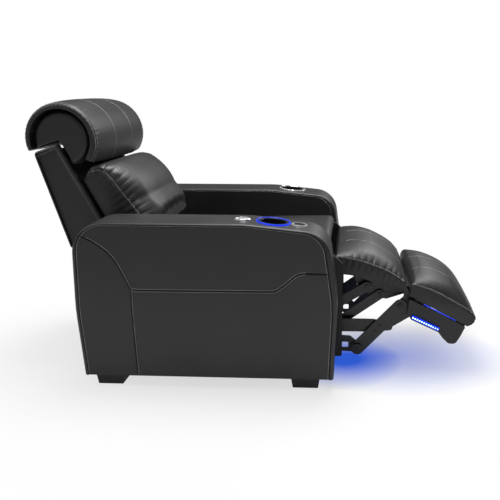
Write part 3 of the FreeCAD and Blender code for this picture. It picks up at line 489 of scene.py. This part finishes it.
# mm and degrees
arm = {"half": 470.7, "width": 178.5, "low": 43, "edge": 14, "seam": 16, "crown": 0.4, "cupFore": 262,
       "cupX": 380.7, "cupHole": 52, "buttonHole": 27.4, "recline": 150, "footrest": 356,
       "panelDepth": 5.2, "slope": 5.87}
sideSeam = [(-434, 588), (-398, 572.5), (-375, 561), (-346, 541), (-324, 523), (-308, 503), (-295, 483),
            (-285, 462), (-276, 442), (-265, 416), (-256, 397), (-246, 386), (-223, 381), (256, 383),
            (270, 384.5), (283, 389), (310, 410), (335, 433), (349, 444), (363, 450), (384, 453), (480, 457)]
uprightSeam = [(-250, 384), (-252, 300), (-250, 150), (-248, 43)]


def armOutline(inset):
    low = arm["low"]
    top = 628 - inset * 0.45
    return [(-452 + inset, low), (-465 + inset, 300, 900), (-452 + inset, top, 120 - inset),
            (170, top, 500), (462 - inset, top - 30, 107 - inset), (497 - inset, 330, 600),
            (484 - inset, low)]


def armLoop(inset):
    return outlinePoints(armOutline(inset), arcSteps=12, closed=False, runSteps=(12, 12, 60, 14, 12, 12))


def armBand(side, label):
    rim, width = arm["edge"], arm["width"]
    section = [(10, 17.5), (4, 16.6), (1.4, 15.6)]
    for degrees in range(0, 91, 15):
        turn = math.radians(degrees)
        section.append((rim - rim * math.cos(turn), rim - rim * math.sin(turn)))
    for k in range(1, 16):
        share = k / 16
        section.append((rim + (width - 2 * rim) * share, -arm["crown"] * math.sin(math.pi * share)))
    section += [(width - dx, d) for dx, d in reversed(section[3:10])]
    section += [(width - 1.4, 15.6), (width - 4, 16.6), (width - 10, 17.5), (width - 10, 20), (10, 20)]
    loops = []
    for dx, inset in section:
        x = side * (arm["half"] - dx)
        loops.append([place(p.x, p.y, x) for p in armLoop(inset)])
    mesh = bmesh.new()
    columns = list(zip(*loops))
    stackLoops(mesh, columns)
    band = finishMesh(label + "ArmBand", mesh, leather, None)
    tools = [armDrill(side, arm["cupFore"], arm["cupHole"], arm["slope"])]
    if side < 0:
        tools.append(armDrill(side, arm["recline"], arm["buttonHole"], 0))
        tools.append(armDrill(side, arm["footrest"], arm["buttonHole"], arm["slope"]))
    cutAway(band, tools)
    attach(band, "base")
    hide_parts(label + "_arm_cover")


def armTop(fore):
    return 628 - max(0.0, fore - 170) * 30 / 292


def armDrill(side, fore, radius, slope):
    turn = math.radians(slope)
    middle = place(fore, armTop(fore), side * arm["cupX"])
    axis = Vector((0, -math.sin(turn), math.cos(turn)))
    return cylinderMesh("armDrill", middle - axis * 0.05, middle + axis * 0.05, radius / 1000)


def nearestIndex(points, target):
    spot = Vector(target)
    return min(range(len(points)), key=lambda i: (points[i] - spot).length)


# One hide of a panel: its outline stands in the seam, and the face swells out of it
def paddedHide(mesh, outline, x, side, thickness, rise):
    loops = [[place(p.x, p.y, x - side * thickness) for p in outline], [place(p.x, p.y, x) for p in outline]]
    edges = addRing(mesh, loops[0])
    made = bmesh.ops.extrude_edge_only(mesh, edges=edges)
    edges = [g for g in made["geom"] if isinstance(g, bmesh.types.BMEdge)]
    for vert, point in zip([g for g in made["geom"] if isinstance(g, bmesh.types.BMVert)], loops[1]):
        vert.co = point
    face = bmesh.ops.contextual_create(mesh, geom=edges)["faces"][0]
    for step, share in ((0.7, 0.45), (1.1, 0.27), (2.0, 0.18), (3.0, 0.10)):
        bmesh.ops.inset_region(mesh, faces=[face], thickness=step / 1000, depth=0, use_even_offset=True,
                               use_boundary=True)
        bmesh.ops.translate(mesh, verts=face.verts, vec=(side * rise * share / 1000, 0, 0))
    return face


def seamPath(points, x):
    return [place(p[0], p[1], x) for p in points]


def armSidePanel(side, label):
    chain = armLoop(arm["seam"])
    rear, front = nearestIndex(chain, sideSeam[0]), nearestIndex(chain, sideSeam[-1])
    seam = [Vector(p) for p in sideSeam]
    upright = [Vector(p) for p in uprightSeam]
    seam[0], seam[-1] = chain[rear].copy(), chain[front].copy()
    joint = nearestIndex(seam, uprightSeam[0])
    seam = seam[:joint] + [upright[0]] + seam[joint + 1:]
    upper = chain[rear:front + 1] + seam[-2:0:-1]
    rearPart = chain[:rear + 1] + seam[1:joint + 1] + upright[1:]
    frontPart = upright[::-1] + seam[joint + 1:] + chain[front + 1:]
    mesh = bmesh.new()
    x = side * (arm["half"] - arm["panelDepth"])
    for outline in (upper, rearPart, frontPart):
        paddedHide(mesh, outline, x, side, 12, arm["panelDepth"] + 0.8)
    panel = finishMesh(label + "SidePanel", mesh, leather, "base", sharp=50)
    panel.modifiers.new("normals", "WEIGHTED_NORMAL").keep_sharp = True
    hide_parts(label + "_side_panel")
    surface = surfaceOf(panel)
    push = Vector((-side, 0, 0))
    outside = side * arm["half"]
    ring = armLoop(arm["seam"] + 5)
    stitchRow(label + "PanelStitch", "base", surface, [place(p.x, p.y, outside) for p in ring], push=push)
    above = shiftedPath(seam[1:-1], 4.5)
    below = shiftedPath(seam[joint:-1], -4.5)
    stitchRow(label + "SeamStitchA", "base", surface, seamPath(above, outside), push=push)
    stitchRow(label + "SeamStitchB", "base", surface, seamPath(below, outside), push=push)
    beside = shiftedPath(upright, 4.5)
    stitchRow(label + "UprightStitch", "base", surface, seamPath(beside, outside), push=push)


def shiftedPath(points, distance):
    moved = []
    for i, point in enumerate(points):
        before, after = Vector(points[max(0, i - 1)]), Vector(points[min(len(points) - 1, i + 1)])
        along = (after - before).normalized()
        moved.append(Vector(point) + Vector((-along.y, along.x)) * distance)
    return moved


def armInnerPanel(side, label):
    mesh = bmesh.new()
    inner = arm["half"] - arm["width"]
    x = side * (inner + arm["panelDepth"])
    paddedHide(mesh, armLoop(arm["seam"]), x, -side, 12, arm["panelDepth"] + 0.4)
    panel = finishMesh(label + "InnerPanel", mesh, leather, "base", sharp=50)
    panel.modifiers.new("normals", "WEIGHTED_NORMAL").keep_sharp = True
    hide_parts(label + "_inner_panel")
    ring = armLoop(arm["seam"] + 5)
    stitchRow(label + "InnerStitch", "base", surfaceOf(panel), [place(p.x, p.y, side * inner) for p in ring],
              push=Vector((side, 0, 0)))


for side, label in ((-1, "right"), (1, "left")):
    armBand(side, label)
    armSidePanel(side, label)
    armInnerPanel(side, label)
print("arms made")


# A side section of a soft piece: corners joined by arcs, each swelling outwards by its bulge
def sectionPoints(corners, bulges):
    steps = 8
    spots = [Vector(c) for c in corners]
    middle = sum(spots, Vector((0, 0))) / len(spots)
    points = []
    for i, start in enumerate(spots):
        end = spots[(i + 1) % len(spots)]
        outward = Vector((-(end - start).y, (end - start).x)).normalized()
        centre = (start + end) / 2
        if outward.dot(centre - middle) < 0:
            outward = -outward
        for k in range(steps):
            share = k / steps
            points.append(start.lerp(end, share) + outward * (bulges[i] * 4 * share * (1 - share)))
    return points


def swell(share):
    return math.sqrt(max(0.0, 1 - (1 - share) ** 2.6))


def shifted(corner, amount, direction):
    return (corner[0] + amount * direction[0], corner[1] + amount * direction[1])


padStations = (1.0, 0.985, 0.95, 0.9, 0.82, 0.72, 0.6, 0.48, 0.36, 0.24, 0.12, 0.0)


def stationLoops(half, rule):
    loops = []
    for share in [-s for s in padStations] + [s for s in reversed(padStations[:-1])]:
        corners, bulges = rule(1 - abs(share))
        loops.append([place(p.x, p.y, half * share) for p in sectionPoints(corners, bulges)])
    return loops


# One height per vertex, averaged with its neighbours' for some rounds; fixed vertices keep theirs
def evened(mesh, heights, fixed, rounds):
    pairs = [tuple(edge.vertices) for edge in mesh.edges]
    counts = [0] * len(heights)
    for first, second in pairs:
        counts[first] += 1
        counts[second] += 1
    for _ in range(rounds):
        sums = [0.0] * len(heights)
        for first, second in pairs:
            sums[first] += heights[second]
            sums[second] += heights[first]
        heights = [height if i in fixed or not counts[i] else sums[i] / counts[i]
                   for i, height in enumerate(heights)]
    return heights


# The shape is pumped up from a size smaller; the back stays where it lies on its board
def pumpUp(item, slack, cap, held, calm):
    rest = [v.co.copy() for v in item.data.vertices]
    normals = [v.normal.copy() for v in item.data.vertices]
    loose = [i for i, (spot, normal) in enumerate(zip(rest, normals)) if not held(spot, normal)]
    fixed = sorted(set(range(len(rest))) - set(loose))
    item.vertex_groups.new(name="held").add(fixed, 1.0, "REPLACE")
    for i in loose:
        item.data.vertices[i].co = rest[i] - normals[i] * slack
    started = [v.co.copy() for v in item.data.vertices]
    fill = item.modifiers.new("fill", "CLOTH")
    fill.settings.use_pressure = True
    fill.settings.uniform_pressure_force = 4
    fill.settings.vertex_group_mass = "held"
    fill.settings.effector_weights.gravity = 0
    for step in range(1, 21):
        bpy.context.scene.frame_set(step)
    applied(item)
    rises = [max(-cap, min(cap, (vertex.co - start).dot(normal)))
             for vertex, start, normal in zip(item.data.vertices, started, normals)]
    rises = evened(item.data, rises, set(fixed), calm)
    for vertex, start, normal, rise in zip(item.data.vertices, started, normals, rises):
        vertex.co = start + normal * rise
    bpy.context.scene.frame_set(1)


def softPiece(name, loops, body, node, voxel=0.006, slack=0.006, held=None, calm=2):
    mesh = bmesh.new()
    stackLoops(mesh, loops)
    item = finishMesh(name, mesh, leather, None, sharp=None)
    remesh = item.modifiers.new("remesh", "REMESH")
    remesh.mode = "VOXEL"
    remesh.voxel_size = voxel
    even = item.modifiers.new("even", "SMOOTH")
    even.factor = 0.5
    even.iterations = 2
    bpy.context.view_layer.update()
    applied(item)
    if held:
        pumpUp(item, slack, 0.008, held, calm)
    finer = item.modifiers.new("finer", "SUBSURF")
    finer.levels = 1
    bpy.context.view_layer.update()
    applied(item)
    item.data.shade_smooth()
    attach(item, body)
    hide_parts(node)
    return item


# For each point, how far it lies from a path and how far along the path that is
def alongPath(spots, path):
    path = np.array([tuple(p) for p in resample(path, 0.008)])
    first, step = path[:-1], path[1:] - path[:-1]
    span = np.sqrt((step ** 2).sum(axis=1))
    start = np.concatenate([[0], np.cumsum(span)[:-1]])
    gap, run = np.full(len(spots), 1.0), np.zeros(len(spots))
    low, high = path.min(axis=0) - 0.12, path.max(axis=0) + 0.12
    near = np.flatnonzero(((spots > low) & (spots < high)).all(axis=1))
    for k in range(len(first)):
        away = spots[near] - first[k]
        share = np.clip(away @ step[k] / span[k] ** 2, 0, 1)
        reach = np.sqrt(((away - share[:, None] * step[k]) ** 2).sum(axis=1))
        closer = reach < gap[near]
        gap[near[closer]] = reach[closer]
        run[near[closer]] = (start[k] + share * span[k])[closer]
    return gap, run


# Uneven lengths between 0 and 1 along a run, the same every time for one seed
def unevenness(run, cell, seed):
    marks = np.random.default_rng(seed).random(400)
    return np.interp(run / cell, np.arange(400), marks)


# A seam draws the hide in along a line and puckers it on both sides
def sewn(item, path, depth=0.0022, width=0.0028, pucker=0.0, reach=0.036, pitch=0.027, seed=1):
    count = len(item.data.vertices)
    spots, normals = np.zeros(count * 3), np.zeros(count * 3)
    item.data.vertices.foreach_get("co", spots)
    item.data.vertices.foreach_get("normal", normals)
    spots, normals = spots.reshape(-1, 3), normals.reshape(-1, 3)
    gap, run = alongPath(spots, path)
    move = -depth * np.exp(-(gap / width) ** 2)
    if pucker:
        warp = run + 0.012 * unevenness(run, 0.05, seed)
        warp = warp + 0.25 * gap * (unevenness(run, 0.09, seed + 1) - 0.5)
        strength = 0.35 + 0.65 * unevenness(run, 0.022, seed + 2)
        coarse = 1 - 2 * np.abs(np.sin(math.pi * warp / pitch)) ** 0.7
        fine = 1 - 2 * np.abs(np.sin(math.pi * (warp + 0.004) / (pitch * 0.43))) ** 0.8
        close = 1 - np.exp(-(gap / 0.006) ** 2)
        move -= pucker * strength * close * (coarse * np.exp(-(gap / reach) ** 1.4)
                                             + 0.3 * fine * np.exp(-gap / (reach * 0.35)))
    spots += normals * move[:, None]
    item.data.vertices.foreach_set("co", spots.reshape(-1))
    item.data.update()


def onSide(points, side, half):
    return [place(p[0], p[1], side * half) for p in points]


def seatRule(t):
    rise, tuck = 22 * swell(t), 12 * (1 - swell(min(1.0, 6 * t)))
    return ([(-312, 406.2), (150, 406.2), (452, 482), (466 - tuck, 499),
             (440 - tuck, 510 - tuck + rise * 0.6), (-300, 468 - tuck + rise * 0.5)],
            [0, 0, 3, 5, 6 + rise * 0.4, 3])


def backRule(t):
    rise, tuck = 66 * swell(t), 12 * (1 - swell(min(1.0, 6 * t)))
    lean = (0.89, 0.45)
    return ([(-378, 548), (-476, 744), (-440, 802 - tuck), shifted((-396, 788 - tuck), rise * 0.8, lean),
             shifted((-300, 655), rise - tuck, lean), shifted((-242, 552), rise - tuck, (0.98, 0.2))],
            [0, 2, 6, 10 + rise * 0.10, 6 + rise * 0.05, 4])


def calfRule(t):
    rise, tuck = 38 * swell(t), 7 * (1 - swell(min(1.0, 6 * t)))
    lift = (0.3, 0.95)
    return ([(546, 386.4), (756, 320), (767, 345), shifted((760, 362 - tuck), rise * 0.4, lift),
             shifted((618, 434 - tuck), rise, lift), shifted((482, 466 - tuck), rise * 0.35, lift),
             (480, 404)],
            [0, 2, 2, 7, 9, 6, 4])


def footRule(t):
    rise, tuck = 40 * swell(t), 7 * (1 - swell(min(1.0, 6 * t)))
    lift = (0.45, 0.89)
    return ([(774, 305), (1001, 184), (1035, 212), shifted((1032, 228), rise * 0.3, lift),
             shifted((925, 299 - tuck), rise, lift), shifted((789, 362 - tuck), rise * 0.4, lift),
             (771, 338)],
            [0, 5, 3, 6, 8, 5, 3])


seatSeam = [(-300, 476), (-100, 482), (150, 490), (400, 503), (448, 502), (458, 492)]
backSeam = [(-440, 786), (-412, 792), (-396, 783), (-369, 751), (-335, 705), (-300, 660), (-276, 623),
            (-258, 590), (-250, 566)]
calfSeam = [(500, 460), (540, 454), (580, 445), (616, 434), (655, 420), (694, 402), (730, 380), (752, 366)]
footSeam = [(774, 361), (810, 346), (849, 334), (890, 315), (928, 294), (968, 271), (1007, 249), (1030, 228)]

seatPad = softPiece("seatPad", stationLoops(288, seatRule), "base", "seat_cushion", 0.008)
backPad = softPiece("backPad", stationLoops(270, backRule), "backrest", "back_cushion", 0.008, 0.004,
                    lambda spot, normal: normal.y > 0.55 and normal.z < 0.75)
calfPad = softPiece("calfPad", stationLoops(270.7, calfRule), "calf_section", "calf_pad", 0.006, 0.003,
                    lambda spot, normal: normal.z < -0.5, calm=40)
footPad = softPiece("footPad", stationLoops(270.7, footRule), "foot_section", "foot_pad", 0.006, 0.003,
                    lambda spot, normal: normal.z < -0.5, calm=40)
print("cushions pumped up")

# How far from the middle the side seams run, and the rows of stitches along the footrest's pads
seamAt = {"seat": 283, "back": 263, "rest": 265}
rowAt = 88
for side in (-1, 1):
    sewn(seatPad, onSide(seatSeam, side, seamAt["seat"]), pucker=0.0012, seed=3 + side)
    sewn(backPad, onSide(backSeam, side, seamAt["back"]), depth=0.003, pucker=0.0030, reach=0.045,
         pitch=0.026, seed=13 + side)
    sewn(calfPad, onSide(calfSeam, side, seamAt["rest"]), depth=0.0026, pucker=0.0020, reach=0.032,
         pitch=0.027, seed=23 + side)
    sewn(footPad, onSide(footSeam, side, seamAt["rest"]), depth=0.0026, pucker=0.0008, reach=0.024,
         pitch=0.029, seed=33 + side)


# Both rows of stitches beside a side seam: one on the top hide, one on the side strip
def seamStitches(name, item, body, seam, side, half):
    apart = 5.0
    surface = surfaceOf(item)
    stitchRow(name + "Top", body, surface, onSide(shiftedPath(seam, -apart * 0.3), side, half - apart))
    stitchRow(name + "Side", body, surface, onSide(shiftedPath(seam, apart), side, half + 2))


# A line of stitches that runs fore and aft over the top of a pad, lying in a shallow channel
def topLine(name, item, body, points, x, push):
    path = [place(p[0], p[1], x) for p in points]
    hits = []
    surface = surfaceOf(item)
    for spot in resample(path, 0.01):
        hit = surface.ray_cast(spot - push * 0.15, push)[0]
        if hit is not None:
            hits.append(hit)
    sewn(item, hits, depth=0.0014, width=0.0030)
    stitchRow(name, body, surfaceOf(item), hits)


for side, label in ((-1, "right"), (1, "left")):
    seamStitches(label + "BackSeam", backPad, "backrest", backSeam[2:], side, seamAt["back"])
    seamStitches(label + "CalfSeam", calfPad, "calf_section", calfSeam, side, seamAt["rest"])
    seamStitches(label + "FootSeam", footPad, "foot_section", footSeam, side, seamAt["rest"])
    topLine(label + "CalfLine", calfPad, "calf_section", [(520, 470), (600, 458), (680, 430), (748, 388)],
            side * rowAt, Vector((0, 0.3, -0.95)).normalized())
    topLine(label + "FootLine", footPad, "foot_section", [(786, 372), (860, 352), (940, 316), (1020, 260)],
            side * rowAt, Vector((0, 0.45, -0.89)).normalized())
print("cushions made")

headrest = {"centre": (-544, 900), "roll": 128, "crown": 17, "core": 103, "inside": 113, "half": 281,
            "coreHalf": 270}


def headPolar(radius, degrees):
    return (headrest["centre"][0] + radius * math.cos(math.radians(degrees)),
            headrest["centre"][1] + radius * math.sin(math.radians(degrees)))


def rollRadius(share):
    return headrest["roll"] + headrest["crown"] * swell(1 - abs(share))


def rollLoops():
    loops = []
    for share in [-s for s in padStations] + [s for s in reversed(padStations[:-1])]:
        full = rollRadius(share) - 4 * (abs(share) == 1.0)
        points = []
        for k in range(41):
            degrees = -38 + 237 * k / 40
            points.append(headPolar(full + 4 * max(0.0, 1 - k / 10), degrees))
        for k in range(41):
            points.append(headPolar(headrest["inside"], 199 - 237 * k / 40))
        loops.append([place(p[0], p[1], headrest["half"] * share) for p in points])
    return loops


def coreLoops():
    spots = [Vector(headPolar(headrest["core"], d)) for d in range(-72, 201, 6)]
    outline = spots + [Vector((-640, 866)), Vector((-553, 895)), Vector((-512, 820))]
    loops = []
    centre = Vector((-535, 915))
    half = headrest["coreHalf"]
    for dx, shrink in ((-half, 0.86), (-half + 2, 0.93), (-half + 7, 0.975), (-half + 15, 1.0),
                       (half - 15, 1.0), (half - 7, 0.975), (half - 2, 0.93), (half, 0.86)):
        loops.append([place(*centre.lerp(p, shrink), dx) for p in outline])
    return loops


def rollPath(share):
    radius = rollRadius(share)
    return [place(*headPolar(radius, d), headrest["half"] * share) for d in range(-36, 198, 3)]


headRoll = softPiece("headRoll", rollLoops(), "headrest", "headrest_wrap", 0.005)
softPiece("headCore", coreLoops(), "headrest", "headrest_core")
for side, label in ((-1, "right"), (1, "left")):
    sewn(headRoll, rollPath(side * 0.955), depth=0.0022, pucker=0.0016, reach=0.02, pitch=0.017,
         seed=43 + side)
    sewn(headRoll, rollPath(side * 0.333), depth=0.0016, width=0.003)
for side, label in ((-1, "right"), (1, "left")):
    surface = surfaceOf(headRoll)
    stitchRow(label + "RollLine", "headrest", surface, rollPath(side * 0.333))
    stitchRow(label + "RollRimA", "headrest", surface, rollPath(side * 0.935))
    stitchRow(label + "RollRimB", "headrest", surface, rollPath(side * 0.975))
print("headrest made")

wing = {"outer": 280.7, "thickness": 30, "edge": 8,
        "outline": [(-651, 852, 16), (-556, 885, 12), (-480, 738, 200), (-355, 486, 8), (-546, 486, 8)]}


# A flat padded board with rolled edges, between two distances from the middle
def rolledBoard(name, corners, outer, inner, side, edge, body, node):
    section = []
    for degrees in range(0, 91, 15):
        turn = math.radians(degrees)
        section.append((edge - edge * math.sin(turn), edge - edge * math.cos(turn)))
    rows = [(inset, outer - dx) for inset, dx in section[::-1]]
    rows += [(inset, inner + dx) for inset, dx in section]
    loops = []
    for inset, x in rows:
        points = outlinePoints(insetCorners(corners, inset), arcSteps=8)
        loops.append([place(p.x, p.y, side * x) for p in points])
    mesh = bmesh.new()
    stackLoops(mesh, loops)
    item = finishMesh(name, mesh, leather, body, sharp=60)
    item.modifiers.new("normals", "WEIGHTED_NORMAL").keep_sharp = True
    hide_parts(node)
    return item


for side, label in ((-1, "right"), (1, "left")):
    inside = wing["outer"] - wing["thickness"]
    board = rolledBoard(label + "Wing", wing["outline"], wing["outer"], inside, side, wing["edge"],
                        "backrest", label + "_back_wing")
    surface = surfaceOf(board)
    front = [Vector(p) for p in ((-648, 845), (-560, 878), (-484, 730), (-420, 606), (-362, 492))]
    for row, distance in (("A", -7), ("B", -12)):
        stitchRow(label + "WingStitch" + row, "backrest", surface,
                  [place(p.x, p.y, side * wing["outer"]) for p in shiftedPath(front, distance)],
                  push=Vector((-side, 0, 0)))
print("back made")


# Small round heads pressed into the links and brackets
def heads(name, body, spots, x, side, radius, rise, look=boltSteel):
    mesh = bmesh.new()
    for fore, height in spots:
        middle = place(fore, height, side * (x + rise / 2))
        turn = Matrix.Rotation(side * math.pi / 2, 4, "Y")
        bmesh.ops.create_cone(mesh, cap_ends=True, segments=24, radius1=radius / 1000,
                              radius2=radius * 0.7 / 1000, depth=rise / 1000,
                              matrix=Matrix.Translation(middle) @ turn)
    return finishMesh(name, mesh, look, body, sharp=30)


def between(first, last, share):
    return tuple(a + (b - a) * share for a, b in zip(first, last))


knee, linkTop = (573, 73), (740, 254)
lampStart, lampEnd = (789, 216.5), (887, 170.5)
for side, label in ((-1, "right"), (1, "left")):
    heads(label + "LinkHeads", "long_links", [between(knee, linkTop, k) for k in (0.42, 0.55)], 240,
          side, 4.5, 1.6)
    heads(label + "FootHeads", "foot_section", [(770, 296), (765, 222), (800, 226), (744, 262)], 228,
          side, 4.5, 1.6)
    heads(label + "CalfHeads", "calf_section", [(588, 345), (636, 318), (700, 296), (726, 308)], 192,
          side, 4, 1.6)
    heads(label + "CarriageHeads", "carriage", [(540, 106), (560, 160), (668, 166)], 228, side, 4.5, 1.6)
    lamps = [between(lampStart, lampEnd, k / 11) for k in range(12)]
    heads(label + "Lamps", "foot_section", lamps, 267, side, 2.6, 1.2, lampGlow)


# A flat strip below the foot pad: one closes the gap over the lamp bar, a thinner one is a line of light
def sideStrip(name, corners, outer, thickness, side, look):
    mesh = bmesh.new()
    loops = [[place(fore, height, side * x) for fore, height in corners] for x in (outer, outer - thickness)]
    stackLoops(mesh, loops)
    return finishMesh(name, mesh, look, "foot_section", sharp=30)


for side, label in ((-1, "right"), (1, "left")):
    sideStrip(label + "GapStrip", [(842, 262), (928, 218), (924, 208), (838, 250)], 257, 6, side,
              blackPlastic)
    sideStrip(label + "PadGlow", [(830, 273), (956, 208), (955, 205), (829, 270)], 262, 2, side, stripGlow)
print("fittings made")


def cameraAndLight():
    camera = bpy.data.cameras.new("photoCamera")
    camera.lens = 44.64
    camera.sensor_width = 36
    camera.shift_x = -0.1386
    camera.shift_y = 0.0032
    item = bpy.data.objects.new("photoCamera", camera)
    item.location = (-2.5615, -0.36297, 1.0890)
    item.rotation_mode = "QUATERNION"
    item.rotation_quaternion = Vector((0.9655, 0.0473, -0.2561)).to_track_quat("-Z", "Y")
    bpy.context.scene.collection.objects.link(item)
    bpy.context.scene.camera = item
    for name, spot, aim, size, power in (
            ("overhead", (0.3, -0.1, 3.0), (0, 0.0, 0.4), 1.5, 95),
            ("cameraSide", (-3.2, -1.9, 2.2), (0, 0, 0.5), 1.0, 8),
            ("behind", (-0.9, 2.6, 2.6), (0, 0.4, 0.8), 1.0, 30),
            ("farSide", (2.2, -1.6, 2.4), (0.2, -0.3, 0.6), 1.2, 38)):
        lamp = bpy.data.lights.new(name, "AREA")
        lamp.energy = power
        lamp.size = size
        holder = bpy.data.objects.new(name, lamp)
        holder.location = spot
        holder.rotation_mode = "QUATERNION"
        holder.rotation_quaternion = (Vector(aim) - Vector(spot)).to_track_quat("-Z", "Y")
        bpy.context.scene.collection.objects.link(holder)


def floorAndWorld():
    mesh = bmesh.new()
    bmesh.ops.create_grid(mesh, x_segments=1, y_segments=1, size=12)
    data = bpy.data.meshes.new("floor")
    mesh.to_mesh(data)
    mesh.free()
    floor = bpy.data.objects.new("floor", data)
    bpy.context.scene.collection.objects.link(floor)
    material, tree, shader = newMaterial("floorWhiteWithPaintedGlow")
    shader.inputs["Roughness"].default_value = 0.9
    shader.inputs["Specular IOR Level"].default_value = 0.0
    coords = addNode(tree, "ShaderNodeTexCoord")

    # A round soft spot of one size on the floor, strongest in its middle; it lays out the painted blue lamp
    # glow and the shaded share
    def patch(middle, reach, power):
        spread = addNode(tree, "ShaderNodeMapping", vector_type="TEXTURE")
        spread.inputs["Location"].default_value = (*middle, 0)
        spread.inputs["Scale"].default_value = (*reach, 1)
        ball = addNode(tree, "ShaderNodeTexGradient", gradient_type="SPHERICAL")
        tree.links.new(coords.outputs["Object"], spread.inputs["Vector"])
        tree.links.new(spread.outputs["Vector"], ball.inputs["Vector"])
        return mathNode(tree, "POWER", ball.outputs["Fac"], power)

    # Painted light: a blue pool of the footrest lamps' glow painted into the floor's colour and its own white
    # glow, strongest under the footrest
    paintedGlowWide = mathNode(tree, "MULTIPLY", patch((-0.14, -0.56), (0.36, 0.50), 0.9), 0.62)
    close = mathNode(tree, "MULTIPLY", patch((-0.20, -0.33), (0.26, 0.26), 0.9), 0.8)
    mask = mathNode(tree, "ADD", paintedGlowWide, close, clamp=True)
    paintedGlowTint = mixColour(tree, mask, (1, 1, 1, 1), (0.04, 0.15, 0.92, 1))
    paintedGlowBase = mixColour(tree, mask, (0.9, 0.9, 0.9, 1), (0.05, 0.2, 0.8, 1))
    tree.links.new(paintedGlowBase, shader.inputs["Base Color"])
    glow = addNode(tree, "ShaderNodeEmission", Strength=1.0)
    tree.links.new(paintedGlowTint, glow.inputs["Color"])
    rays = addNode(tree, "ShaderNodeLightPath")
    seen = mathNode(tree, "MAXIMUM", rays.outputs["Is Camera Ray"],
                    mathNode(tree, "MULTIPLY", rays.outputs["Is Glossy Ray"], 0.3))
    seen = mathNode(tree, "MAXIMUM", seen, rays.outputs["Is Transmission Ray"])
    shaded = mathNode(tree, "MULTIPLY", patch((0, 0.05), (1.2, 1.4), 0.5), 0.42)
    blend = addNode(tree, "ShaderNodeMixShader")
    tree.links.new(mathNode(tree, "MULTIPLY", seen, mathNode(tree, "SUBTRACT", 1.0, shaded)), blend.inputs[0])
    tree.links.new(shader.outputs[0], blend.inputs[1])
    tree.links.new(glow.outputs[0], blend.inputs[2])
    tree.links.new(blend.outputs[0], tree.nodes["Material Output"].inputs["Surface"])
    data.materials.append(material)
    world = bpy.data.worlds.new("room")
    bpy.context.scene.world = world
    world.use_nodes = True
    tree = world.node_tree
    back = tree.nodes["Background"]
    back.inputs["Color"].default_value = (1, 1, 1, 1)
    rays = addNode(tree, "ShaderNodeLightPath")
    level = mathNode(tree, "ADD", mathNode(tree, "MULTIPLY", rays.outputs["Is Camera Ray"], 0.89), 0.11)
    tree.links.new(level, back.inputs["Strength"])


cameraAndLight()
floorAndWorld()
bpy.context.scene.view_settings.view_transform = "Standard"
